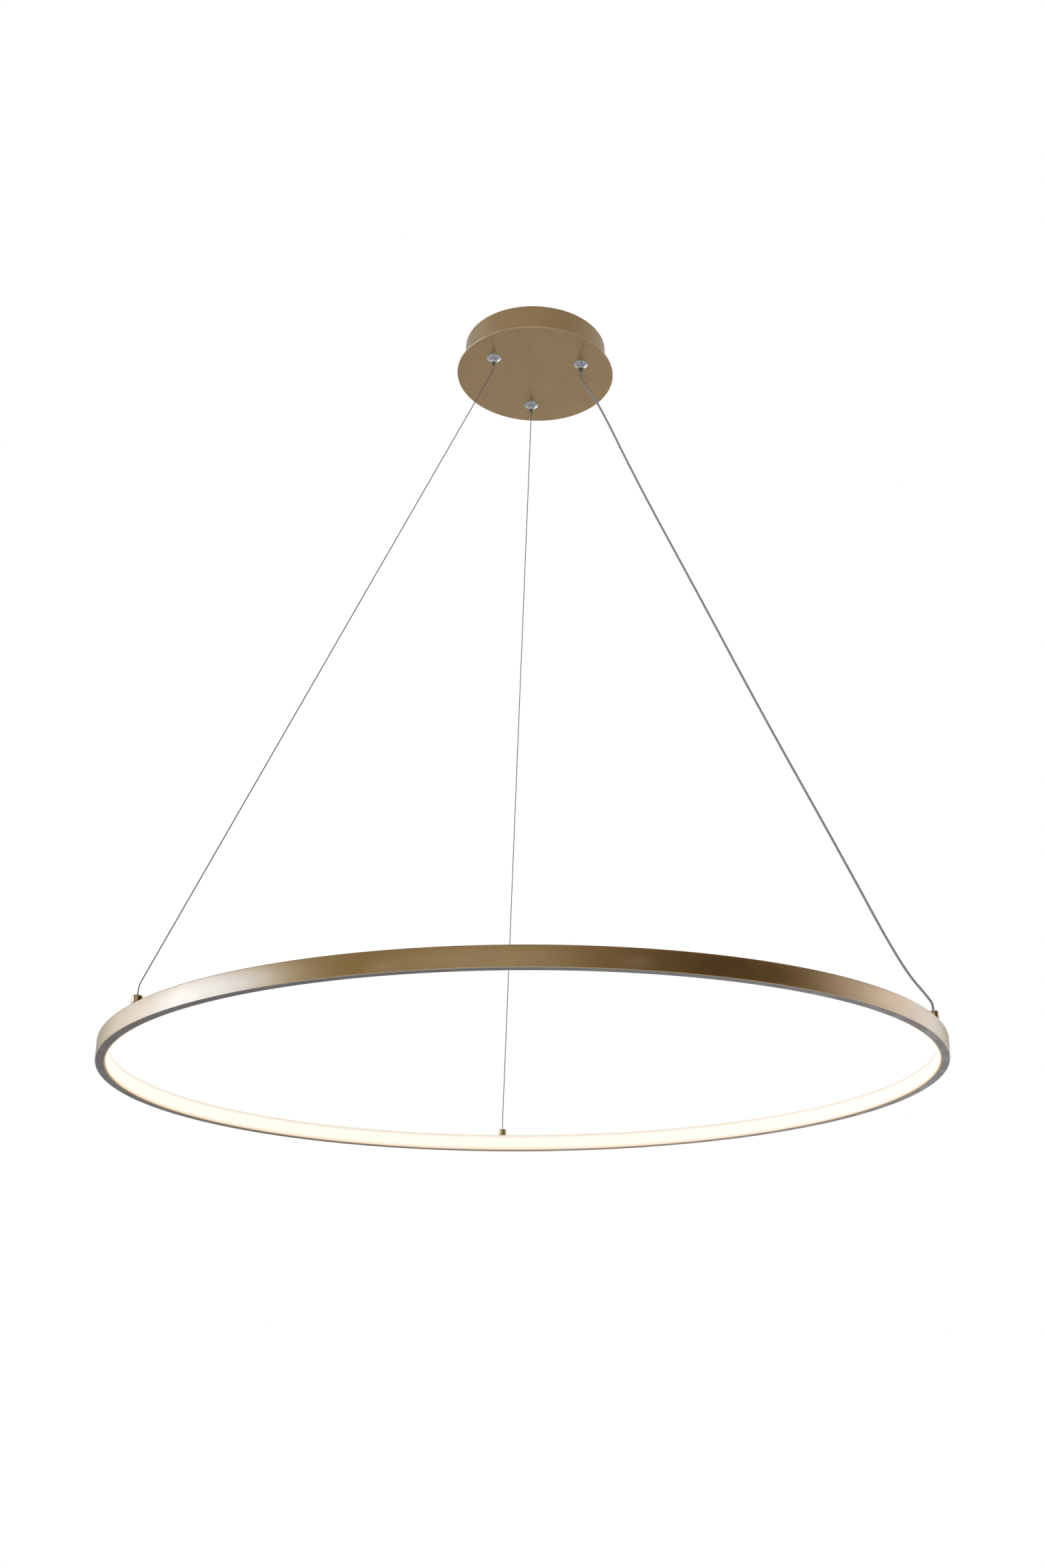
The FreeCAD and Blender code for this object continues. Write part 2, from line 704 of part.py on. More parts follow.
class Gripper:
    """The radii and levels of one gripper, which follow the diameter of the wire or cable that it holds."""

    def __init__(self, side, held_diameter):
        self.side = side
        self.place = gripper_point(side, 0)
        self.bore = held_diameter / 2 + bore_clearance
        self.tip = self.bore + tip_wall
        self.guide = self.tip + tip_fit
        self.cavity = self.tip + cavity_width
        self.ball_circle = held_diameter / 2 + ball_diameter / 2 + ball_gap
        self.wedge = self.ball_circle + ball_diameter / 2 + wedge_clearance

    def level(self, height):
        """A level given from the underside of the plate."""
        return plate_under + height

    def body(self):
        flange = gripper_flange_diameter / 2
        dome = gripper_dome_diameter / 2
        rim = self.level(-gripper_flange_rim)
        cone = self.level(-gripper_flange_depth)
        disc = turned([(0, plate_under), (flange, plate_under), (flange, rim), (dome, cone), (0, cone)],
                      self.place)
        disc = rounded_rims(disc, gripper_flange_rim / 2, [(flange, rim)])
        ball = Part.makeSphere(dome, Vector(self.place.x, self.place.y, self.level(-gripper_dome_drop)))
        neck = cylinder(self.guide + tip_chamfer, self.level(-gripper_neck_depth),
                        self.level(-gripper_dome_drop), self.place)
        barrel = cylinder(barrel_radius, rim, barrel_level, self.place)
        body = disc.fuse([ball, neck, barrel])
        body = body.cut(cylinder(self.guide, self.level(-gripper_neck_depth - overrun), barrel_level,
                                 self.place))
        return body.cut(cylinder(self.cavity, self.level(-gripper_shoulder), barrel_level + overrun,
                                 self.place))

    def tip_piece(self):
        shoulder = self.level(-gripper_shoulder)
        collar = self.tip + tip_collar_width
        piece = turned([(self.bore, tip_level), (self.tip - tip_chamfer, tip_level),
                        (self.tip, tip_level + tip_chamfer), (self.tip, shoulder), (collar, shoulder),
                        (collar, shoulder + tip_collar_height), (self.tip, shoulder + tip_collar_height),
                        (self.tip, self.level(tip_cage_top)), (self.bore, self.level(tip_cage_top))],
                       self.place)
        for azimuth in self.ball_azimuths():
            window = along(heading(azimuth), ball_diameter / 2 + thread_clearance,
                           Vector(self.place.x, self.place.y, self.level(ball_height)), self.cavity)
            piece = piece.cut(window)
        return piece

    def ball_azimuths(self):
        return [360 / ball_count * index for index in range(ball_count)]

    def balls(self):
        centre = Vector(self.place.x, self.place.y, self.level(ball_height))
        return [Part.makeSphere(ball_diameter / 2, centre + around(azimuth, self.ball_circle, 0))
                for azimuth in self.ball_azimuths()]

    def wedge_sleeve(self):
        bottom, top = self.level(wedge_bottom), self.level(wedge_bottom + wedge_height)
        outer = self.cavity - wedge_fit
        return turned([(self.wedge - wedge_fit, bottom), (outer, bottom), (outer, top),
                       (min(self.wedge + wedge_taper, outer - wedge_fit), top)], self.place)

    def spring(self):
        """The spring over the cage, as a plain sleeve of its coil's outer and inner size."""
        return sleeve(self.tip - tip_fit, self.bore + bore_clearance, self.level(tip_cage_top),
                      barrel_level - gripper_plug_height, self.place)

    def plug(self):
        return sleeve(self.cavity - wedge_fit, self.bore, barrel_level - gripper_plug_height, barrel_level,
                      self.place)

    def washer(self):
        return sleeve(gripper_washer_diameter / 2, barrel_radius + hole_clearance, plate_top,
                      plate_top + gripper_washer_thickness, self.place)

    def nut(self):
        return hex_nut(gripper_nut_flats, barrel_radius + thread_clearance,
                       plate_top + gripper_washer_thickness, gripper_nut_height, self.place)


grippers = [Gripper(side, held_diameters[side]) for side in azimuths]
for gripper in grippers:
    export("gripper_body_" + gripper.side, [gripper.body()])
    export("gripper_tip_" + gripper.side, [gripper.tip_piece()])
    export("gripper_balls_" + gripper.side, gripper.balls())
    export("gripper_spring_" + gripper.side, [gripper.spring()])
export("gripper_wedges", [gripper.wedge_sleeve() for gripper in grippers])
export("gripper_plugs", [gripper.plug() for gripper in grippers])
export("gripper_washers", [gripper.washer() for gripper in grippers])
export("gripper_nuts", [gripper.nut() for gripper in grippers])


# Ring

def profile_outline():
    """The channel's section: an outer wall with a top and a bottom wall, grooved for the diffuser's bead."""
    groove_start = wall_end_radius + diffuser_leg_length - diffuser_bead_width
    groove_end = wall_end_radius + diffuser_leg_length + diffuser_fit
    groove_depth = diffuser_bead + diffuser_fit
    under_top = ring_top - top_wall
    over_bottom = ring_bottom + bottom_wall
    return [(ring_radius, ring_bottom), (ring_radius, ring_top), (wall_end_radius, ring_top),
            (wall_end_radius, under_top), (groove_start, under_top), (groove_start, under_top + groove_depth),
            (groove_end, under_top + groove_depth), (groove_end, under_top), (channel_radius, under_top),
            (channel_radius, over_bottom), (groove_end, over_bottom),
            (groove_end, over_bottom - groove_depth), (groove_start, over_bottom - groove_depth),
            (groove_start, over_bottom), (wall_end_radius, over_bottom), (wall_end_radius, ring_bottom)]


def ring_profile():
    profile = turned(profile_outline(), axis)
    profile = rounded_rims(profile, profile_edge_rounding,
                           [(ring_radius, ring_bottom), (ring_radius, ring_top)])
    for side in azimuths:
        profile = profile.cut(cylinder(ferrule_screw_diameter / 2 + hole_clearance, ring_top - overrun,
                                       ring_top + overrun, ferrule_point(side, 0)))
    return profile


def diffuser():
    """The opal cover: a face over the whole inside of the ring and two legs that snap into the walls."""
    face_top = ring_top - diffuser_edge_gap
    face_bottom = ring_bottom + diffuser_edge_gap
    back = ring_inner_radius + diffuser_thickness
    leg_end = wall_end_radius + diffuser_leg_length
    bead_start = leg_end - diffuser_bead_width + diffuser_fit
    leg_top = ring_top - top_wall - diffuser_fit
    leg_bottom = ring_bottom + bottom_wall + diffuser_fit
    leg_under = leg_top - diffuser_leg_thickness
    leg_over = leg_bottom + diffuser_leg_thickness
    outline = [(ring_inner_radius, face_bottom), (ring_inner_radius, face_top), (back, face_top),
               (back, leg_top), (bead_start, leg_top), (bead_start, leg_top + diffuser_bead),
               (leg_end, leg_top + diffuser_bead), (leg_end, leg_under), (back, leg_under),
               (back, leg_over), (leg_end, leg_over), (leg_end, leg_bottom - diffuser_bead),
               (bead_start, leg_bottom - diffuser_bead), (bead_start, leg_bottom), (back, leg_bottom),
               (back, face_bottom)]
    gap_angle = math.degrees(diffuser_joint_gap / ring_inner_radius)
    cover = turned(outline, axis, 360 - gap_angle, diffuser_joint_azimuth + gap_angle / 2)
    return rounded_rims(cover, diffuser_edge_rounding,
                        [(ring_inner_radius, face_bottom), (ring_inner_radius, face_top)])


def led_strip():
    gap_angle = math.degrees(strip_gap / strip_inner_radius)
    bottom = strip_middle - strip_height / 2
    top = strip_middle + strip_height / 2
    outline = [(strip_inner_radius, bottom), (strip_outer_radius, bottom),
               (strip_outer_radius, top), (strip_inner_radius, top)]
    return turned(outline, axis, 360 - gap_angle, azimuths["right"] - gap_angle)


def led_chips():
    step = 360 / chip_count
    back = math.sqrt(strip_inner_radius ** 2 - (chip_width / 2) ** 2)
    corner = Vector(back - chip_depth, -chip_width / 2, strip_middle - chip_height / 2)
    chips = []
    for index in range(chip_count):
        chip = Part.makeBox(chip_depth, chip_width, chip_height, corner)
        chip.rotate(axis, Vector(0, 0, 1), step / 2 + step * index)
        chips.append(chip)
    return chips


export("ring_profile", [ring_profile()])
export("diffuser", [diffuser()])
export("led_strip", [led_strip()])
export("led_chips", led_chips())


# Ferrules

def ferrule(side):
    place = ferrule_point(side, 0)
    groove_bottom = ring_top + ferrule_base_height
    groove_top = groove_bottom + ferrule_groove_height
    waist = ferrule_radius - ferrule_groove_depth
    body = turned([(0, ring_top), (ferrule_radius, ring_top), (ferrule_radius, groove_bottom),
                   (waist, groove_bottom), (waist, groove_top), (ferrule_radius, groove_top),
                   (ferrule_radius, ferrule_top), (0, ferrule_top)], place)
    body = rounded_rims(body, ferrule_rounding, [(ferrule_radius, ferrule_top)])
    body = body.cut(cylinder(ferrule_screw_diameter / 2 + thread_clearance, ring_top - overrun,
                             ferrule_top - ferrule_roof, place))
    body = body.cut(cylinder(held_diameters[side] / 2 + ferrule_bore_clearance, ring_top - overrun,
                             ferrule_top + overrun, place))
    hole = along(heading(grub_azimuths[side]), grub_diameter / 2 + thread_clearance,
                 Vector(place.x, place.y, ring_top + grub_height), ferrule_diameter)
    return body.cut(hole)


def grub_screw(side):
    direction = heading(grub_azimuths[side])
    outer_end = ferrule_point(side, ring_top + grub_height) + direction * (ferrule_radius - grub_sink)
    inner_radius = max(stop_diameter, feed_diameter) / 2 + hole_clearance
    length = ferrule_radius - grub_sink - inner_radius
    return socket_screw(direction * -1, grub_diameter / 2, outer_end, length, grub_socket, length / 2)


def ferrule_screw(side):
    """The screw inside the channel that holds a ferrule. The feed cable's own is a tube."""
    place = ferrule_point(side, 0)
    head_top = ring_top - top_wall
    head_bottom = head_top - ferrule_screw_head_height
    screw = cylinder(ferrule_screw_diameter / 2, head_top, ring_top + ferrule_screw_reach, place)
    screw = screw.fuse(cylinder(ferrule_screw_head_diameter / 2, head_bottom, head_top, place))
    if side == "right":
        return screw.cut(cylinder(feed_diameter / 2 + ferrule_bore_clearance, head_bottom - overrun,
                                  ring_top + ferrule_screw_reach + overrun, place))
    return screw.cut(hexagon(ferrule_screw_socket, head_bottom - overrun,
                             head_bottom + ferrule_screw_socket_depth, place))


def wire_stop(side):
    """The crimped stop on the end of a suspension wire, held under the ferrule's roof."""
    place = ferrule_point(side, 0)
    bottom = ring_top + ferrule_screw_reach + thread_clearance
    top = bottom + stop_height
    stop = cylinder(stop_diameter / 2, bottom, top, place)
    stop = rounded_rims(stop, stop_height / 4, [(stop_diameter / 2, bottom), (stop_diameter / 2, top)])
    return stop.fuse(cylinder(wire_diameter / 2, bottom + stop_height / 2, ferrule_top, place))


def feed_end():
    """The feed cable's end from the ferrule's top down into the channel."""
    return cylinder(feed_diameter / 2, feed_end_level, ferrule_top, ferrule_point("right", 0))


def strip_lead(offset, name):
    """One core from the cable's end to the light strip, along the channel."""
    outwards = heading(azimuths["right"])
    onwards = Vector(0, 0, 1).cross(outwards)
    start = ferrule_point("right", feed_end_level) + onwards * offset
    corner = start - Vector(0, 0, core_drop + offset)
    sag = core_reach ** 2 / (2 * strip_inner_radius)
    reach_out = strip_inner_radius - core_diameter / 2 - sag - ring_middle_radius - diffuser_fit
    end = corner + onwards * core_reach + outwards * reach_out
    return cord(name, [start, corner, end], core_diameter)


for side in azimuths:
    export("ferrule_" + side, [ferrule(side)])
export("grub_screws", [grub_screw(side) for side in azimuths])
export("ferrule_screws", [ferrule_screw(side) for side in azimuths])
export("wire_stops", [wire_stop(side) for side in ("left", "far")])
export("feed_end", [feed_end()])
export("strip_leads", [strip_lead(side * core_pitch / 2, "strip_lead") for side in (-1, 1)])


# Suspension wires and feed cable

def free_route(side):
    """The free stretch from a gripper's tip down to a ferrule, eased at both ends."""
    top = gripper_point(side, tip_level)
    foot = ferrule_point(side, ferrule_top)
    outwards = heading(azimuths[side])
    slope = (ring_middle_radius - gripper_circle_radius) / (tip_level - ferrule_top)
    down = Vector(0, 0, -1)
    top_straight, top_easing, foot_easing, foot_straight = free_runs[side]
    straight = top + down * top_straight
    eased = straight + (down + outwards * slope * easing_share) * top_easing
    landed = foot - down * foot_straight
    easing = landed - (down + outwards * slope * easing_share) * foot_easing
    return [top, straight, eased, easing, landed, foot]


def wire_tail(side):
    """The wire inside its gripper and the short end that bends over above it."""
    top = gripper_point(side, barrel_level + tail_rise)
    end = top + around(tail_azimuths[side], tail_reach, -tail_reach * tail_droop_share)
    return cord("wire_tail_" + side, [gripper_point(side, tip_level), top, end], wire_diameter)


def feed_tail():
    """The feed cable inside its gripper, and its way round into the driver's end."""
    foot = gripper_point("right", barrel_level)
    entry = Vector(driver_end_x, feed_entry_y, entry_level)
    points = [gripper_point("right", tip_level)]
    points += [foot + Vector(x, y, z) for x, y, z in feed_tail_places]
    points += [entry + Vector(feed_tail_last_run, 0, 0), entry - Vector(driver_wall + grommet_flange, 0, 0)]
    return cord("feed_tail", points, feed_diameter)


for side, name in (("left", "suspension_wire_left"), ("far", "suspension_wire_far"), ("right", "feed_cable")):
    export(name, [cord(name, free_route(side), held_diameters[side])])
    print(name, [(round(p.x, 2), round(p.y, 2), round(p.z, 2)) for p in free_route(side)])
export("wire_tail_left", [wire_tail("left")])
export("wire_tail_far", [wire_tail("far")])
export("feed_tail", [feed_tail()])
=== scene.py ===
"""A ring pendant lamp as it looks: its finishes, fine meshes and cords, with camera and studio light.

All lengths are in metres. The origin is the middle of the canopy on the ceiling, and the lamp hangs in -Z.
"""

import logging
import math
from dataclasses import dataclass, field
from enum import StrEnum
from functools import cache

import bmesh
import bpy
from mathutils import Matrix, Vector


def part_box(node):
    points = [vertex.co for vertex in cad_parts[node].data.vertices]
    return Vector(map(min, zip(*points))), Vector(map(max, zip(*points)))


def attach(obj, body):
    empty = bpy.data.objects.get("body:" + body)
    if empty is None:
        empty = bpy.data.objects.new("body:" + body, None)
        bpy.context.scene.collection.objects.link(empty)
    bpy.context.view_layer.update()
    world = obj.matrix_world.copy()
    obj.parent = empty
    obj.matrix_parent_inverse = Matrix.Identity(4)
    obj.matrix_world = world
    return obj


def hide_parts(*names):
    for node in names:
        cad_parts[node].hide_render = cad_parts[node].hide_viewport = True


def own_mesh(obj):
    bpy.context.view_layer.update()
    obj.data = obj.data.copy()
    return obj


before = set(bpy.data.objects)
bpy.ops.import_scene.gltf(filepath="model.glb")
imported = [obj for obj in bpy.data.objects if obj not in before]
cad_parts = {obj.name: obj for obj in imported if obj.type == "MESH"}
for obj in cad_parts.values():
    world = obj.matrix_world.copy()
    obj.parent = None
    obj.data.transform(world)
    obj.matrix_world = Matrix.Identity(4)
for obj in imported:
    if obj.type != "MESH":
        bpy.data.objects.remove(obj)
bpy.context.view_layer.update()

Colour = Point = tuple[float, float, float]
Corner = tuple[float, ...]
Line = list[Vector]
Piece = bpy.types.Object
Shape = bmesh.types.BMesh
Socket = bpy.types.NodeSocket

MM = 0.001
WIRE_DIAMETER = 1.2 * MM
CABLE_DIAMETER = 2.6 * MM
EDGE_ANGLE = 35.0
TUBE_ANGLE = 75.0
MERGE_DISTANCE = 1e-7
HOLE_SIDES = 32
LINE_STEPS = 24
ROUNDING_STEPS = 6
STRAND_STEPS = 10
NOISE_LOW, NOISE_HIGH = 0.3, 0.7
LOG = logging.getLogger("pendant_lamp")


class Side(StrEnum):
    """The lamp's three sides, each with a gripper, a wire or cable and a ferrule."""
    FAR = "far"
    LEFT = "left"
    RIGHT = "right"


class Marks(StrEnum):
    """What the making of a surface leaves on it."""
    GRAIN = "fine grain all over"
    ROUND_BRUSHED = "lines brushed round the lamp's own axis"
    TURNED = "fine lines from a lathe, round an upright axis"
    CLOUDY = "soft uneven patches"


class Graph:
    """The nodes of one material or of the world, made one at a time."""

    def __init__(self, owner: bpy.types.ID) -> None:
        """Clears the owner's nodes.

        Args:
            owner: The material or world.
        """
        owner.use_nodes = True
        self.tree = owner.node_tree
        self.tree.nodes.clear()

    def node(self, kind: str, inputs: dict | None = None, **settings: str) -> bpy.types.Node:
        """Makes a node.

        Args:
            kind: The node's type without its prefix.
            inputs: Values or output sockets, by name or index.
            settings: Properties of the node.

        Returns:
            The new node.
        """
        made = self.tree.nodes.new("ShaderNode" + kind)
        for name, value in settings.items():
            setattr(made, name, value)
        for name, value in (inputs or {}).items():
            if isinstance(value, Socket):
                self.tree.links.new(value, made.inputs[name])
            else:
                made.inputs[name].default_value = value
        return made

    def sum_of(self, operation: str, first: float | Socket, second: float | Socket) -> Socket:
        """Returns the result of a sum on two numbers."""
        return self.node("Math", {0: first, 1: second}, operation=operation).outputs[0]

    def vector(self, operation: str, *values: Point | Socket, output: str = "Vector") -> Socket:
        """Returns the result of a sum on vectors."""
        return self.node("VectorMath", dict(enumerate(values)), operation=operation).outputs[output]

    def mixed(self, share: float | Socket, first: Colour | Socket, second: Colour | Socket) -> Socket:
        """Returns the mix of two colours that holds a given share of the second."""
        both = [colour if isinstance(colour, Socket) else (*colour, 1.0) for colour in (first, second)]
        return self.node("Mix", {0: share, 6: both[0], 7: both[1]}, data_type="RGBA").outputs[2]

    def span(self, value: Socket, low: float, high: float, to_low: float, to_high: float) -> Socket:
        """Returns a value mapped from low and high to two others, eased at both ends."""
        inputs = {0: value, 1: low, 2: high, 3: to_low, 4: to_high}
        return self.node("MapRange", inputs, interpolation_type="SMOOTHSTEP").outputs[0]

    def spread(self, noise: Socket, low: float, high: float) -> Socket:
        """Returns a value that follows noise from low to high."""
        return self.span(noise, NOISE_LOW, NOISE_HIGH, low, high)

    def place(self) -> Socket:
        """Returns a point's place on its object."""
        return self.node("TexCoord").outputs["Object"]

    def scaled_place(self, scale: Point) -> Socket:
        """Returns a point's place on its object, times a scale along each axis."""
        return self.vector("MULTIPLY", self.place(), scale)

    def radius(self) -> Socket:
        """Returns a point's distance from its object's upright axis."""
        return self.vector("LENGTH", self.scaled_place((1.0, 1.0, 0.0)), output="Value")

    def seen(self) -> Socket:
        """Returns one where the camera sees a point straight, and else zero."""
        return self.node("LightPath").outputs["Is Camera Ray"]

    def noise(self, where: Socket, size: float, detail: float = 2.0) -> Socket:
        """Returns soft noise from 0 to 1, with patches of a given size and some finer layers."""
        return self.node("TexNoise", {"Vector": where, "Scale": 1 / size, "Detail": detail}).outputs[0]


@dataclass(frozen=True)
class Surface:
    """A surface, which becomes a material at its first use."""
    name: str

    def inputs(self, graph: Graph) -> dict:
        """Makes the inputs of the surface's shader in a material's graph, and returns them by name."""
        raise NotImplementedError

    @cache
    def material(self) -> bpy.types.Material:
        """Makes the surface's material.

        Returns:
            The material, the same one each time.
        """
        made = bpy.data.materials.new(self.name)
        graph = Graph(made)
        shader = graph.node("BsdfPrincipled", self.inputs(graph))
        graph.node("OutputMaterial", {0: shader.outputs[0]})
        return made


@dataclass(frozen=True)
class Finish(Surface):
    """A metal surface with the marks of its making, bare or coated, and where given a painted highlight from
    a radius out.
    """
    colour: Colour
    shade: Colour
    roughness: float
    mark_size: float
    relief: float = 0.01 * MM
    marks: Marks = Marks.CLOUDY
    uneven: float = 0.05
    metallic: float = 1.0
    coat: float = 0.0
    coat_roughness: float = 0.15
    coat_index: float = 1.5
    patch_size: float = 30 * MM
    turned_stretch: float = 0.05
    brushed_drift: float = 0.004
    brushed_detail: float = 4.0
    # The next three fields give a painted highlight: past a radius from the upright axis, the colour fades to
    # a lighter one.
    highlight_radius: float = 0.0
    highlight_colour: Colour = (0.72, 0.52, 0.27)
    highlight_fade: float = 0.2 * MM

    def pattern(self, graph: Graph) -> Socket:
        """Makes the marks.

        Args:
            graph: The material's nodes.

        Returns:
            The marks' height, from 0 to 1.
        """
        if self.marks is Marks.GRAIN:
            cells = graph.node("TexVoronoi", {"Vector": graph.place(), "Scale": 1 / self.mark_size})
            return graph.node("SeparateColor", {0: cells.outputs["Color"]}).outputs[0]
        if self.marks is Marks.CLOUDY:
            return graph.noise(graph.place(), self.mark_size)
        if self.marks is Marks.TURNED:
            stretched = graph.scaled_place((self.turned_stretch, self.turned_stretch, 1.0))
            return graph.noise(stretched, self.mark_size)
        drawn = graph.node("CombineXYZ", {0: graph.radius()}).outputs[0]
        drift = graph.scaled_place((self.brushed_drift, self.brushed_drift, 0.0))
        return graph.noise(graph.vector("ADD", drawn, drift), self.mark_size, self.brushed_detail)

    def inputs(self, graph: Graph) -> dict:
        """Makes the shader's inputs.

        Args:
            graph: The material's nodes.

        Returns:
            The inputs by name.
        """
        marks = self.pattern(graph)
        patches = graph.noise(graph.place(), self.patch_size)
        worn = graph.sum_of("MULTIPLY", graph.sum_of("ADD", marks, patches), 0.5)
        colour = graph.mixed(worn, self.shade, self.colour)
        # Painted highlight: the colour turns lighter from the given radius out.
        if self.highlight_radius:
            rim = graph.span(graph.radius(), self.highlight_radius - self.highlight_fade, self.highlight_radius, 0.0, 1.0)
            colour = graph.mixed(rim, colour, self.highlight_colour)
        bump = graph.node("Bump", {"Height": marks, "Distance": self.relief, "Strength": 1.0})
        return {
            "Base Color": colour, "Metallic": self.metallic, "Normal": bump.outputs[0],
            "Roughness": graph.spread(patches, self.roughness - self.uneven, self.roughness + self.uneven),
            "Coat Weight": self.coat, "Coat Roughness": self.coat_roughness, "Coat IOR": self.coat_index}


@dataclass(frozen=True)
class Plain(Finish):
    """A plastic, rubber or foam surface."""
    metallic: float = 0.0


@dataclass(frozen=True)
class OpalCover(Surface):
    """The lit opal cover, bright over its middle and warmer towards its edges, most at its foot.

    Its levels are shares of half its height, from its middle.
    """
    name: str = "opal_cover"
    middle: float = 0.0
    half_height: float = 10 * MM
    glow: Colour = (0.93, 0.91, 0.79)
    top_glow: Colour = (0.78, 0.66, 0.55)
    foot_glow: Colour = (0.78, 0.6, 0.42)
    foot_line: Colour = (0.36, 0.21, 0.08)
    top_starts: float = 0.55
    foot_ends: float = -0.4
    line_starts: float = -0.88
    line_full: float = -0.97
    drift: float = 0.08
    body: Colour = (0.22, 0.215, 0.2)
    shade: Colour = (0.2, 0.195, 0.18)
    roughness: float = 0.5
    gloss: float = 0.12
    patch_size: float = 28 * MM

    def inputs(self, graph: Graph) -> dict:
        """Makes the shader's inputs.

        Args:
            graph: The material's nodes.

        Returns:
            The inputs by name.
        """
        half = self.half_height
        height = graph.node("SeparateXYZ", {0: graph.place()}).outputs[2]
        level = graph.sum_of("SUBTRACT", height, self.middle)
        patches = graph.noise(graph.place(), self.patch_size)
        uneven = graph.sum_of("ADD", level, graph.sum_of("MULTIPLY", patches, half * self.drift))
        high = graph.span(uneven, half * self.top_starts, half, 0.0, 1.0)
        low = graph.span(uneven, -half, half * self.foot_ends, 1.0, 0.0)
        foot = graph.span(level, half * self.line_full, half * self.line_starts, 1.0, 0.0)
        upper = graph.mixed(high, self.glow, self.top_glow)
        light = graph.mixed(foot, graph.mixed(low, upper, self.foot_glow), self.foot_line)
        return {
            "Base Color": graph.mixed(patches, self.shade, self.body), "Roughness": self.roughness,
            "Specular IOR Level": self.gloss, "Emission Color": light, "Emission Strength": 1.0}


@dataclass(frozen=True)
class Insulation(Surface):
    """Soft plastic in two colours, patchy or with a stripe that winds round, and clear by a share."""
    first: Colour
    second: Colour
    smoothest: float
    roughest: float
    patch_size: float
    patch_detail: float = 2.0
    clearness: float = 0.0
    index: float = 1.5
    stripe_pitch: float = 0.0
    stripe_edge: float = 0.05

    def inputs(self, graph: Graph) -> dict:
        """Makes the shader's inputs.

        Args:
            graph: The material's nodes.

        Returns:
            The inputs by name.
        """
        share = patches = graph.noise(graph.place(), self.patch_size, self.patch_detail)
        if self.stripe_pitch:
            place = {"Vector": graph.place(), "Scale": 1 / (self.stripe_pitch * math.tau)}
            waves = graph.node("TexWave", place, bands_direction="DIAGONAL").outputs["Fac"]
            share = graph.span(waves, 0.5 - self.stripe_edge, 0.5 + self.stripe_edge, 0.0, 1.0)
        return {
            "Base Color": graph.mixed(share, self.first, self.second),
            "Roughness": graph.spread(patches, self.smoothest, self.roughest),
            "Transmission Weight": self.clearness, "IOR": self.index}


@dataclass(frozen=True)
class FloorPaint(Surface):
    """The studio floor's pale paint, which the camera sees nearly as bright as the backdrop."""
    name: str = "studio_floor"
    colour: Colour = (0.8, 0.8, 0.79)
    shade: Colour = (0.76, 0.76, 0.75)
    roughness: float = 0.7
    lift: float = 0.42
    lift_tint: Colour = (1.0, 1.0, 0.99)
    patch_size: float = 1.5

    def inputs(self, graph: Graph) -> dict:
        """Makes the shader's inputs.

        Args:
            graph: The material's nodes.

        Returns:
            The inputs by name.
        """
        patches = graph.noise(graph.place(), self.patch_size)
        return {
            "Base Color": graph.mixed(patches, self.shade, self.colour), "Roughness": self.roughness,
            "Emission Color": (*self.lift_tint, 1.0),
            "Emission Strength": graph.sum_of("MULTIPLY", graph.seen(), self.lift)}


# Each finish gives its name, two colours, roughness and size of marks, and then what differs from the rest.
GOLD_COAT = Finish(
    "gold_coat", (0.46, 0.262, 0.078), (0.38, 0.21, 0.058), 0.36, 0.7 * MM, 0.001 * MM, Marks.GRAIN,
    uneven=0.03, coat=1.0, coat_roughness=0.2, coat_index=1.7)
GREY_EDGE = Finish(
    "brushed_edge", (0.25, 0.232, 0.243), (0.195, 0.18, 0.19), 0.42, 0.5 * MM, 0.001 * MM,
    Marks.ROUND_BRUSHED, metallic=0.5)
# A painted highlight: pale gold on the ring channel's rounded lower outer edge.
EDGE_HIGHLIGHT = Finish(
    "painted_edge_highlight", (0.8, 0.68, 0.5), (0.7, 0.58, 0.41), 0.2, 0.5 * MM, 0.001 * MM,
    Marks.ROUND_BRUSHED, uneven=0.03)
# Painted highlight: lighter gold on the canopy plate's outer edge, fading in from 99.4 mm and full past 99.6
# mm.
CANOPY_GOLD = Finish(
    "canopy_gold", (0.585, 0.375, 0.17), (0.54, 0.34, 0.15), 0.3, 0.5 * MM, 0.0008 * MM, Marks.GRAIN,
    metallic=0.8, coat=1.0, coat_roughness=0.05, highlight_radius=99.6 * MM)
SATIN_BRASS = Finish(
    "satin_brass", (0.62, 0.44, 0.24), (0.36, 0.23, 0.11), 0.24, 0.3 * MM, marks=Marks.TURNED)
CHROME = Finish(
    "chrome_plate", (0.74, 0.77, 0.83), (0.66, 0.69, 0.76), 0.045, 2 * MM, 0.001 * MM, uneven=0.015)
# Painted shade: a darker copy of the chrome for the grippers' tips, so that they read as dark tubes.
SHADED_TIP_CHROME = Finish(
    "shaded_tip_chrome", (0.36, 0.36, 0.38), (0.28, 0.28, 0.3), 0.05, 2 * MM, 0.001 * MM, uneven=0.015)
ZINC_STEEL = Finish("zinc_steel", (0.62, 0.63, 0.64), (0.42, 0.43, 0.45), 0.36, 2.5 * MM, uneven=0.1)
BRIGHT_STEEL = Finish("bright_steel", (0.7, 0.71, 0.73), (0.52, 0.53, 0.55), 0.2, 0.6 * MM, 0.004 * MM)
WIRE_ROPE = Finish(
    "wire_rope", (0.36, 0.37, 0.41), (0.27, 0.28, 0.315), 0.5, 1.5 * MM, 0.005 * MM, metallic=0.8)
TINNED_BRAID = Finish(
    "tinned_braid", (0.38, 0.38, 0.39), (0.31, 0.31, 0.32), 0.5, 0.8 * MM, 0.005 * MM, metallic=0.4)
BLACK_STEEL = Finish(
    "black_steel", (0.035, 0.034, 0.033), (0.015, 0.015, 0.015), 0.42, 0.4 * MM, metallic=0.8)
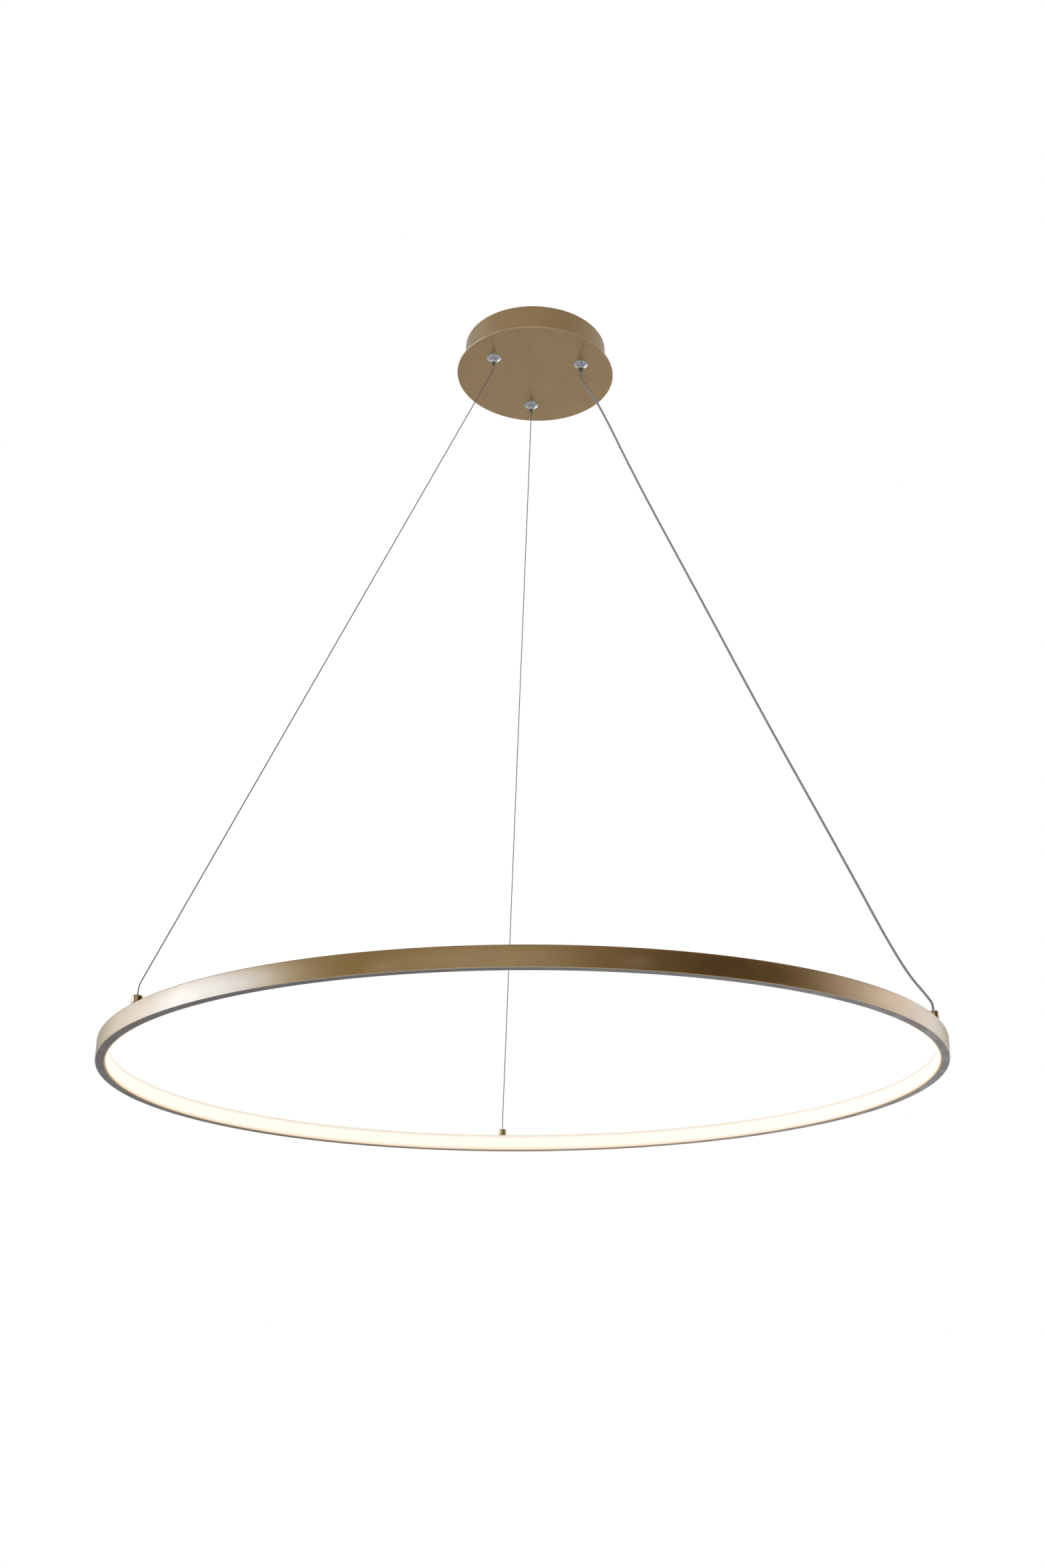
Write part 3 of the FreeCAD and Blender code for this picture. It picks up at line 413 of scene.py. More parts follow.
CONTACT_BRASS = Finish(
    "contact_brass", (0.75, 0.56, 0.28), (0.55, 0.39, 0.18), 0.3, 0.4 * MM, marks=Marks.TURNED)
CORE_GREY = Plain("core_grey", (0.32, 0.32, 0.325), (0.28, 0.28, 0.285), 0.5, 1 * MM, 0.005 * MM)
WHITE_PLASTIC = Plain(
    "white_plastic", (0.8, 0.8, 0.78), (0.72, 0.72, 0.7), 0.45, 0.6 * MM, 0.03 * MM, Marks.GRAIN)
BOARD_GREEN = Plain("board_green", (0.03, 0.2, 0.08), (0.02, 0.13, 0.05), 0.35, 2 * MM)
DARK_PART = Plain("part_dark", (0.06, 0.06, 0.065), (0.03, 0.03, 0.035), 0.4, 1 * MM)
GREY_RUBBER = Plain("grey_rubber", (0.16, 0.16, 0.165), (0.1, 0.1, 0.105), 0.7, 0.5 * MM, 0.03 * MM)
FOAM = Plain("foam_pad", (0.55, 0.54, 0.5), (0.32, 0.31, 0.28), 0.9, 0.5 * MM, 0.15 * MM, Marks.GRAIN)
IVORY_PLASTIC = Plain("ivory_plastic", (0.78, 0.73, 0.6), (0.7, 0.65, 0.52), 0.4, 1.5 * MM)
LEAD_BROWN = Plain("lead_brown", (0.2, 0.085, 0.04), (0.16, 0.065, 0.03), 0.38, 1.5 * MM)
LEAD_BLUE = Plain("lead_blue", (0.04, 0.16, 0.5), (0.03, 0.12, 0.4), 0.38, 1.5 * MM)
STRIP_WHITE = Plain("strip_white", (0.82, 0.82, 0.8), (0.74, 0.74, 0.72), 0.45, 1.5 * MM)
CHIP_YELLOW = Plain("chip_yellow", (0.85, 0.68, 0.2), (0.75, 0.56, 0.12), 0.35, 0.5 * MM)
CORE_RED = Plain("core_red", (0.55, 0.04, 0.03), (0.42, 0.03, 0.02), 0.4, 1 * MM)
CLEAR_SHEATH = Insulation(
    "feed_sheath", (0.56, 0.56, 0.57), (0.66, 0.66, 0.67), 0.2, 0.33, 3 * MM, 3.0, clearness=0.4, index=1.45)
LEAD_STRIPED = Insulation(
    "lead_earth", (0.03, 0.28, 0.05), (0.8, 0.62, 0.05), 0.35, 0.45, 1.5 * MM, stripe_pitch=9 * MM)


def dress(surfaces: dict[str, Surface]) -> list[Piece]:
    """Gives CAD nodes their surfaces.

    Args:
        surfaces: Each node's surface.

    Returns:
        The nodes' objects.
    """
    pieces = [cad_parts[node] for node in surfaces]
    for piece, surface in zip(pieces, surfaces.values()):
        for slot in piece.material_slots:
            slot.material = surface.material()
    return pieces


def install(piece: Piece, body: str, slot: str, surfaces: list[Surface], *stands_for: str) -> Piece:
    """Puts a new piece on its body.

    Args:
        piece: The new piece, in its place.
        body: The body that it rides on.
        slot: Its material slot in the record; not used.
        surfaces: Its surfaces, by material index.
        stands_for: The CAD nodes that it replaces.

    Returns:
        The piece.
    """
    for surface in surfaces:
        piece.data.materials.append(surface.material())
    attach(piece, body)
    if stands_for:
        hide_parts(*stands_for)
    return piece


def smooth(mesh: bpy.types.Mesh, edge_angle: float) -> None:
    """Shades a mesh smooth, but for the edges from an angle in degrees up."""
    mesh.shade_smooth()
    mesh.set_sharp_from_angle(angle=math.radians(edge_angle))


def to_object(shape: Shape, name: str, edge_angle: float = EDGE_ANGLE) -> Piece:
    """Makes an object of a mesh.

    Args:
        shape: The mesh, which is used up.
        name: The new object's name.
        edge_angle: The angle in degrees from which an edge stays sharp.

    Returns:
        The new object, in the scene.
    """
    bmesh.ops.recalc_face_normals(shape, faces=shape.faces)
    mesh = bpy.data.meshes.new(name)
    shape.to_mesh(mesh)
    shape.free()
    smooth(mesh, edge_angle)
    made = bpy.data.objects.new(name, mesh)
    bpy.context.scene.collection.objects.link(made)
    return made


def rounded_outline(corners: list[Corner]) -> Line:
    """Rounds a closed outline's corners.

    Args:
        corners: Each corner's distance from the axis, its level and, where rounded, the radius.

    Returns:
        The outline's points, as distances from the axis and levels.
    """
    sharp = [Vector(corner[:2]) for corner in corners]
    points = []
    for index, (here, (_, _, *rounding)) in enumerate(zip(sharp, corners)):
        if not rounding:
            points.append(here)
            continue
        back = (sharp[index - 1] - here).normalized()
        onwards = (sharp[(index + 1) % len(sharp)] - here).normalized()
        half = back.angle(onwards) / 2
        centre = here + (back + onwards).normalized() * (rounding[0] / math.sin(half))
        start = here + back * (rounding[0] / math.tan(half)) - centre
        end = here + onwards * (rounding[0] / math.tan(half)) - centre
        turn = math.atan2(start.x * end.y - start.y * end.x, start.dot(end))
        points += [centre + Matrix.Rotation(turn * step / ROUNDING_STEPS, 2) @ start
                   for step in range(ROUNDING_STEPS + 1)]
    return points


def turned(name: str, outline: Line, centre: Vector = Vector((0, 0, 0)), segments: int = 96,
           sweep: float = math.tau, first: float = 0.0) -> Piece:
    """Turns an outline round an upright axis.

    Args:
        name: The new object's name.
        outline: The closed outline, as distances from the axis and levels.
        centre: A point on the axis.
        segments: How many flat pieces go round.
        sweep: How far it goes round.
        first: The azimuth where it starts.

    Returns:
        The new object.
    """
    shape = bmesh.new()
    whole = sweep == math.tau
    rings = []
    for step in range(segments if whole else segments + 1):
        angle = first + sweep * step / segments
        cosine, sine = math.cos(angle), math.sin(angle)
        rings.append([shape.verts.new((centre.x + point.x * cosine, centre.y + point.x * sine, point.y))
                      for point in outline])
    for step in range(segments):
        here, there = rings[step], rings[(step + 1) % len(rings)]
        for index in range(len(outline)):
            after = (index + 1) % len(outline)
            shape.faces.new((here[index], there[index], there[after], here[after]))
    if not whole:
        shape.faces.new(rings[0])
        shape.faces.new(list(reversed(rings[-1])))
    bmesh.ops.remove_doubles(shape, verts=shape.verts, dist=MERGE_DISTANCE)
    return to_object(shape, name)


def crossings(points: Line) -> list[tuple[Vector, Vector]]:
    """Finds two directions square to a line at each of its points, carried along it without twist.

    Args:
        points: The line's points.

    Returns:
        A pair of unit directions for each point.
    """
    headings = [(points[min(index + 1, len(points) - 1)] - points[max(index - 1, 0)]).normalized()
                for index in range(len(points))]
    across = headings[0].orthogonal().normalized()
    pairs = []
    before = headings[0]
    for heading in headings:
        across = (before.rotation_difference(heading) @ across).normalized()
        pairs.append((across, heading.cross(across)))
        before = heading
    return pairs


def around(pair: tuple[Vector, Vector], turn: float) -> Vector:
    """Returns the direction at a turn from the first of two square directions towards the second."""
    return pair[0] * math.cos(turn) + pair[1] * math.sin(turn)


def spaced(points: Line, step: float) -> Line:
    """Reads points at even steps along a line.

    Args:
        points: The line's points.
        step: The length of a step.

    Returns:
        The points, from its start to its end.
    """
    lengths = [0.0]
    for before, after in zip(points, points[1:]):
        lengths.append(lengths[-1] + (after - before).length)
    count = max(2, round(lengths[-1] / step))
    found = []
    index = 0
    for number in range(count + 1):
        wanted = lengths[-1] * number / count
        while index < len(points) - 2 and lengths[index + 1] < wanted:
            index += 1
        share = (wanted - lengths[index]) / (lengths[index + 1] - lengths[index])
        found.append(points[index].lerp(points[index + 1], min(1.0, share)))
    return found


def add_tube(shape: Shape, points: Line, radius: float, sides: int) -> None:
    """Adds a round tube with closed ends to a mesh.

    Args:
        shape: The mesh.
        points: The points that the tube follows.
        radius: Its radius.
        sides: How many flat sides it has.
    """
    turns = [math.tau * side / sides for side in range(sides)]
    rings = [[shape.verts.new(point + around(pair, turn) * radius) for turn in turns]
             for point, pair in zip(points, crossings(points))]
    for here, there in zip(rings, rings[1:]):
        for side in range(sides):
            after = (side + 1) % sides
            shape.faces.new((here[side], here[after], there[after], there[side]))
    shape.faces.new(list(reversed(rings[0])))
    shape.faces.new(rings[-1])


def add_twisted(shape: Shape, points: Line, count: int, radius: float, off_centre: float, lay: float,
                sides: int) -> None:
    """Adds strands that wind round a line to a mesh.

    Args:
        shape: The mesh.
        points: The line's points.
        count: How many strands there are.
        radius: A strand's radius.
        off_centre: How far a strand's middle lies from the line.
        lay: The length in which a strand goes round once, negative to wind it the other way.
        sides: How many flat sides a strand has.
    """
    line = spaced(points, abs(lay) / STRAND_STEPS)
    pairs = crossings(line)
    for strand in range(count):
        turns = [math.tau * (math.copysign(index / STRAND_STEPS, lay) + strand / count)
                 for index in range(len(line))]
        path = [point + around(pair, turn) * off_centre for point, pair, turn in zip(line, pairs, turns)]
        add_tube(shape, path, radius, sides)


def spline_points(route: list[Point]) -> Line:
    """Reads the smooth line of a cord's route.

    Args:
        route: The spline's control points.

    Returns:
        The line's points.
    """
    curve = bpy.data.curves.new("route", "CURVE")
    curve.dimensions = "3D"
    curve.resolution_u = LINE_STEPS
    spline = curve.splines.new("NURBS")
    spline.points.add(len(route) - 1)
    for control, point in zip(spline.points, route):
        control.co = (*point, 1.0)
    spline.order_u = 3
    spline.use_endpoint_u = True
    holder = bpy.data.objects.new("route", curve)
    bpy.context.scene.collection.objects.link(holder)
    line = bpy.data.meshes.new_from_object(holder)
    points = [vertex.co.copy() for vertex in line.vertices]
    bpy.data.objects.remove(holder)
    bpy.data.meshes.remove(line)
    return points


@dataclass(frozen=True)
class Softbox:
    """A soft bright or dark part of the studio, at a turn to the right from the way back to the camera.

    Its light is even within the core and fades out at the spread. Its width is its height times its flatness.
    All angles are in degrees.
    """
    turn: float
    rise: float
    core: float
    spread: float
    strength: float
    tint: Colour = (1.0, 1.0, 1.0)
    flatness: float = 1.0

    def edges(self) -> list[float]:
        """Returns how far the core and the spread reach from the middle, on a ball of radius one."""
        return [2 * math.sin(math.radians(angle) / 2) for angle in (self.core, self.spread)]


@dataclass
class Studio:
    """The camera at the photograph's angle, the soft light all round and the pale floor far below.

    The camera's place, rise and roll are given as if the lamp stood square to it, and the lamp's turn is then
    taken off them.
    """
    picture_height: float = 2352.0
    picture_width: float = 1568.0
    focal_pixels: float = 2482.036
    axis_pixel: float = 962.25
    sensor: float = 36.0
    clip: tuple[float, float] = (0.01, 100.0)
    place: Point = (0.12695, -1.78151, -1.3317)
    rise: float = 0.3846
    roll: float = -0.0187
    lamp_turn: float = math.radians(8.7)
    floor_level: float = -3.6
    floor_radius: float = 5.5
    floor_thickness: float = 0.04
    floor_segments: int = 128
    glow: Colour = (0.408, 0.4, 0.376)
    least_glow: float = 0.03
    backdrop: float = 1.0
    softboxes: tuple[Softbox, ...] = (
        Softbox(-92, 12, 12, 50, 1.5, (0.92, 1.14, 1.55), 2.8),
        Softbox(-84, 12, 10, 28, 1.4, (0.74, 1.42, 2.8), 2.4),
        Softbox(-129, 13, 4, 22, 0.36, (1.0, 0.98, 0.6), 2.4),
        Softbox(120, 13, 8, 44, 1.12, (0.94, 1.07, 1.27), 2.4),
        Softbox(150, 14, 4, 24, -0.14, (0.5, 0.7, 1.3), 2.4),
        Softbox(-33, 12, 1.5, 4, 1.8),
        Softbox(31, 14, 1.5, 4, 1.8),
        Softbox(0, -30, 3, 10, -0.7),
        Softbox(-8, 14, 8, 34, 0.48, (0.95, 1.14, 1.18), 2.4),
        Softbox(50, 14, 18, 42, -0.44, (0.97, 1.1, 1.1), 2.4),
        Softbox(-39, 14, 6, 24, -0.19, (0.85, 1.0, 1.5), 2.4),
        Softbox(166, -12, 8, 26, 0.75),
        Softbox(-166, -12, 8, 26, 0.15),
        Softbox(0, -40, 10, 40, 0.4))

    def heading(self, softbox: Softbox) -> Point:
        """Returns the direction from the lamp to a softbox, one long."""
        turn, rise = math.radians(softbox.turn - 90) - self.lamp_turn, math.radians(softbox.rise)
        return math.cos(turn) * math.cos(rise), math.sin(turn) * math.cos(rise), math.sin(rise)

    def make_camera(self) -> Piece:
        """Makes the scene's camera.

        Returns:
            The camera.
        """
        data = bpy.data.cameras.new("camera")
        data.sensor_width = self.sensor
        data.lens = self.focal_pixels / self.picture_height * self.sensor
        data.shift_x = (self.picture_width / 2 - self.axis_pixel) / self.picture_height
        data.clip_start, data.clip_end = self.clip
        camera = bpy.data.objects.new("camera", data)
        bpy.context.scene.collection.objects.link(camera)
        camera.matrix_world = (
            Matrix.Rotation(-self.lamp_turn, 4, "Z") @ Matrix.Translation(Vector(self.place))
            @ Matrix.Rotation(math.pi / 2 + self.rise, 4, "X") @ Matrix.Rotation(self.roll, 4, "Z"))
        bpy.context.scene.camera = camera
        return camera

    def light(self) -> None:
        """Makes the soft light all round, with a white backdrop where the camera looks past the lamp."""
        bpy.context.scene.view_settings.view_transform = "Standard"
        world = bpy.data.worlds.new("studio")
        bpy.context.scene.world = world
        graph = Graph(world)
        way = graph.node("TexCoord").outputs["Generated"]
        glow = self.glow
        for softbox in self.softboxes:
            off = graph.vector("SUBTRACT", way, self.heading(softbox))
            flat = graph.vector("MULTIPLY", off, (1.0, 1.0, softbox.flatness))
            distance = graph.vector("LENGTH", flat, output="Value")
            share = graph.span(distance, *softbox.edges(), softbox.strength, 0.0)
            glow = graph.vector("MULTIPLY_ADD", share, softbox.tint, glow)
        glow = graph.vector("MAXIMUM", glow, (self.least_glow,) * 3)
        around_lamp = graph.node("Background", {0: glow, 1: 1.0})
        behind_lamp = graph.node("Background", {0: (1.0, 1.0, 1.0, 1.0), 1: self.backdrop})
        inputs = {0: graph.seen(), 1: around_lamp.outputs[0], 2: behind_lamp.outputs[0]}
        shader = graph.node("MixShader", inputs)
        graph.node("OutputWorld", {0: shader.outputs[0]})

    def lay_floor(self) -> Piece:
        """Makes the floor.

        Returns:
            The floor, a pale disc with a soft edge.
        """
        top, under = self.floor_level, self.floor_level - self.floor_thickness
        corners = [(0.0, under), (self.floor_radius, under),
                   (self.floor_radius, top, self.floor_thickness / 2), (0.0, top)]
        floor = turned("studio_floor", rounded_outline(corners), segments=self.floor_segments)
        floor.data.materials.append(FloorPaint().material())
        return floor

    def build(self) -> list[Piece]:
        """Makes the studio, and returns the camera and the floor."""
        self.light()
        return [self.make_camera(), self.lay_floor()]


@dataclass
class HeldCord:
    """A cord from a gripper to a ferrule, with its tail inside the canopy."""
    side: Side
    route: list[Point]
    tail: list[Point]
    top: float = -50.6 * MM
    foot: float = -927 * MM
    travel: float = 450 * MM

    def follow_ring(self, piece: Piece) -> None:
        """Gives a free stretch a mesh of its own."""
        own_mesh(piece)


@dataclass
class SuspensionWire(HeldCord):
    """A steel wire rope of six strands round a seventh."""
    length: float = 0.9567
    diameter: float = WIRE_DIAMETER
    lay: float = 8 * MM
    strands: int = 6
    strands_across: int = 3
    strand_sides: int = 6
    heart_steps: int = 4

    def make_rope(self, line: Line, node: str) -> Piece:
        """Makes the rope along a line.

        Args:
            line: The line's points.
            node: The CAD node that it replaces.

        Returns:
            The rope.
        """
        radius = self.diameter / self.strands_across / 2
        shape = bmesh.new()
        add_twisted(shape, line, self.strands, radius, 2 * radius, self.lay, self.strand_sides)
        add_tube(shape, spaced(line, self.lay / self.heart_steps), radius, self.strand_sides)
        rope = to_object(shape, node + "_strands", TUBE_ANGLE)
        return install(rope, "canopy", "wire_rope", [WIRE_ROPE], node)

    def build(self) -> list[Piece]:
        """Makes the wire.

        Returns:
            The free stretch and the tail.
        """
        line = spline_points(self.route)
        wire = self.make_rope(line, "suspension_wire_" + self.side)
        self.follow_ring(wire)
        return [wire, self.make_rope(spline_points(self.tail), "wire_tail_" + self.side)]


@dataclass
class FeedCable(HeldCord):
    """The lamp's feed: an insulated core in a tinned braid, under a clear sheath."""
    length: float = 0.9568
    diameter: float = CABLE_DIAMETER
    core_radius: float = 0.92 * MM
    braid_radius: float = 1.0 * MM
    braid_strand: float = 0.11 * MM
    braid_count: int = 12
    lay: float = 9 * MM
    step: float = 2.5 * MM
    sheath_sides: int = 24
    core_sides: int = 16
    braid_sides: int = 5

    def make_pieces(self, line: Line, node: str) -> list[Piece]:
        """Makes the sheath, core and braid along a line.

        Args:
            line: The line's points.
            node: The CAD node that they replace.

        Returns:
            The sheath, and then what lies in it.
        """
        tube, core, braid = bmesh.new(), bmesh.new(), bmesh.new()
        add_tube(tube, spaced(line, self.step), self.diameter / 2, self.sheath_sides)
        add_tube(core, spaced(line, self.step), self.core_radius, self.core_sides)
        for lay in (self.lay, -self.lay):
            add_twisted(braid, line, self.braid_count, self.braid_strand, self.braid_radius, lay,
                        self.braid_sides)
        pieces = []
        for ending, shape, surface, *stands_for in (
                ("_sheath", tube, CLEAR_SHEATH, node), ("_core", core, CORE_GREY),
                ("_braid", braid, TINNED_BRAID)):
            layer = to_object(shape, node + ending, TUBE_ANGLE)
            pieces.append(install(layer, "canopy", "feed_sheath", [surface], *stands_for))
        return pieces

    def build(self) -> list[Piece]:
        """Makes the cable.

        Returns:
            The pieces of the free stretch and of the tail.
        """
        line = spline_points(self.route)
        pieces = self.make_pieces(line, "feed_cable")
        for piece in pieces:
            self.follow_ring(piece)
        return pieces + self.make_pieces(spline_points(self.tail), "feed_tail")


@dataclass
class LightRing:
    """The lit ring: a channel with walls above, outside and below, its opal cover and the strip inside."""
    radius: float = 450 * MM
    width: float = 10 * MM
    outer_wall: float = 1.3 * MM
    top_wall: float = 1.5 * MM
    bottom_wall: float = 1.3 * MM
    edge_rounding: float = 0.8 * MM
    cover_thickness: float = 1.4 * MM
    cover_fit: float = 0.05 * MM
    cover_edge_gap: float = 0.25 * MM
    cover_rounding: float = 0.4 * MM
    leg_length: float = 0.9 * MM
    leg_thickness: float = 1.1 * MM
    bead: float = 0.3 * MM
    bead_width: float = 0.4 * MM
    joint_azimuth: float = math.radians(112.0)
    joint_gap: float = 0.3 * MM
    segments: int = 720
    flat_normal: float = -0.99
    # Below this normal height, the faces of the lower outer edge get the painted highlight.
    highlight_normal: float = -0.05
    dressed: dict[str, Surface] = field(default_factory=lambda: {
        "led_strip": STRIP_WHITE, "led_chips": CHIP_YELLOW, "strip_leads": CORE_RED, "feed_end": CLEAR_SHEATH,
        "wire_stops": BRIGHT_STEEL, "ferrule_screws": ZINC_STEEL, "grub_screws": BLACK_STEEL})

    def __post_init__(self) -> None:
        """Reads the ring's levels from the frame."""
        low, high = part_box("ring_profile")
        self.bottom, self.top = low.z, high.z
        self.inner_radius = self.radius - self.width
        self.wall_end = self.inner_radius + self.cover_thickness + self.cover_fit
        # Each of the two walls gives its outer level, its inner level and the way outwards.
        self.walls = ((self.top, self.top - self.top_wall, 1),
                      (self.bottom, self.bottom + self.bottom_wall, -1))

    def channel_corners(self) -> list[Corner]:
        """Makes the channel's section.

        Returns:
            The corners of its three walls, with a groove above and below for the cover's bead.
        """
        start = self.wall_end + self.leg_length - self.bead_width
        end = self.wall_end + self.leg_length + self.cover_fit
        channel = self.radius - self.outer_wall
        halves = []
        for edge, wall, way in self.walls:
            groove = wall + way * (self.bead + self.cover_fit)
            halves.append([
                (self.radius, edge, self.edge_rounding), (self.wall_end, edge), (self.wall_end, wall),
                (start, wall), (start, groove), (end, groove), (end, wall), (channel, wall)])
        return halves[0] + halves[1][::-1]

    def cover_corners(self) -> list[Corner]:
        """Makes the cover's section.

        Returns:
            The corners of its face and of the two legs that snap into the walls.
        """
        back = self.inner_radius + self.cover_thickness
        end = self.wall_end + self.leg_length
        start = end - self.bead_width + self.cover_fit
        halves = []
        for edge, wall, way in self.walls:
            face, leg = edge - way * self.cover_edge_gap, wall - way * self.cover_fit
            bead, inside = leg + way * self.bead, leg - way * self.leg_thickness
            halves.append([
                (self.inner_radius, face, self.cover_rounding), (back, face), (back, leg), (start, leg),
                (start, bead), (end, bead), (end, inside), (back, inside)])
        return halves[0] + halves[1][::-1]

    def build_channel(self) -> Piece:
        """Makes the channel, coated outside, brushed below and with a painted highlight along its lower outer
        edge.

        Returns:
            The channel.
        """
        channel = turned("ring_channel", rounded_outline(self.channel_corners()), segments=self.segments)
        # Faces low on the outer edge: the flat bottom gets the brushed grey, and the rest of the rounded edge
        # the painted highlight.
        for face in channel.data.polygons:
            if face.center.z <= self.bottom + self.edge_rounding and face.normal.z < self.highlight_normal:
                face.material_index = 1 if face.normal.z < self.flat_normal else 2
        return install(channel, "ring", "gold_coat", [GOLD_COAT, GREY_EDGE, EDGE_HIGHLIGHT], "ring_profile")

    def build_cover(self) -> Piece:
        """Makes the opal cover, with the joint where its two ends meet.

        Returns:
            The cover.
        """
        gap = self.joint_gap / self.inner_radius
        cover = turned("ring_cover", rounded_outline(self.cover_corners()), segments=self.segments,
                       sweep=math.tau - gap, first=self.joint_azimuth + gap / 2)
        opal = OpalCover(middle=(self.top + self.bottom) / 2, half_height=(self.top - self.bottom) / 2)
        return install(cover, "ring", "opal_cover", [opal], "diffuser")

    def build(self) -> list[Piece]:
        """Returns the channel, its cover and the dressed nodes inside."""
        return [self.build_channel(), self.build_cover(), *dress(self.dressed)]


@dataclass
class Ferrule:
    """A turned ferrule on the ring that holds the end of one wire or of the cable."""
    side: Side
    held_diameter: float
    grub_azimuth: float
    radius: float = 5 * MM
    base_height: float = 0.8 * MM
    groove_height: float = 0.5 * MM
    groove_depth: float = 0.4 * MM
    rounding: float = 1.0 * MM
    fine_rounding: float = 0.12 * MM
    roof: float = 1.2 * MM
    bore: float = 2.05 * MM
    held_clearance: float = 0.1 * MM
    grub_radius: float = 1.3 * MM
    grub_height: float = 5.4 * MM

    def drill(self, ferrule: Piece, middle: Vector) -> None:
        """Drills the hole of the set screw.

        Args:
            ferrule: The ferrule.
            middle: Where the hole starts, on the ferrule's axis.
        """
        azimuth = math.radians(self.grub_azimuth)
        outwards = Vector((math.cos(azimuth), math.sin(azimuth), 0))
        shape = bmesh.new()
        add_tube(shape, [middle, middle + outwards * 2 * self.radius], self.grub_radius, HOLE_SIDES)
        tool = to_object(shape, "tool")
        cut = ferrule.modifiers.new("tool", "BOOLEAN")
        cut.object = tool
        cut.operation = "DIFFERENCE"
        cut.solver = "EXACT"
        drilled = ferrule.evaluated_get(bpy.context.evaluated_depsgraph_get())
        ferrule.data = bpy.data.meshes.new_from_object(drilled)
        ferrule.modifiers.clear()
        smooth(ferrule.data, EDGE_ANGLE)
        bpy.data.objects.remove(tool)

    def build(self) -> list[Piece]:
        """Makes the ferrule with its bores and the hole of its set screw.

        Returns:
            The ferrule.
        """
        node = "ferrule_" + self.side
        low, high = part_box(node)
        centre = (low + high) / 2
        groove, groove_top = low.z + self.base_height, low.z + self.base_height + self.groove_height
        waist = self.radius - self.groove_depth
        held = self.held_diameter / 2 + self.held_clearance
        fine = self.fine_rounding
        corners = [
            (self.bore, low.z), (self.radius, low.z, fine), (self.radius, groove, fine), (waist, groove),
            (waist, groove_top), (self.radius, groove_top, fine), (self.radius, high.z, self.rounding),
            (held, high.z, fine), (held, high.z - self.roof), (self.bore, high.z - self.roof)]
        ferrule = turned(node + "_body", rounded_outline(corners), centre)
        self.drill(ferrule, Vector((centre.x, centre.y, low.z + self.grub_height)))
        return [install(ferrule, "ring", "satin_brass", [SATIN_BRASS], node)]


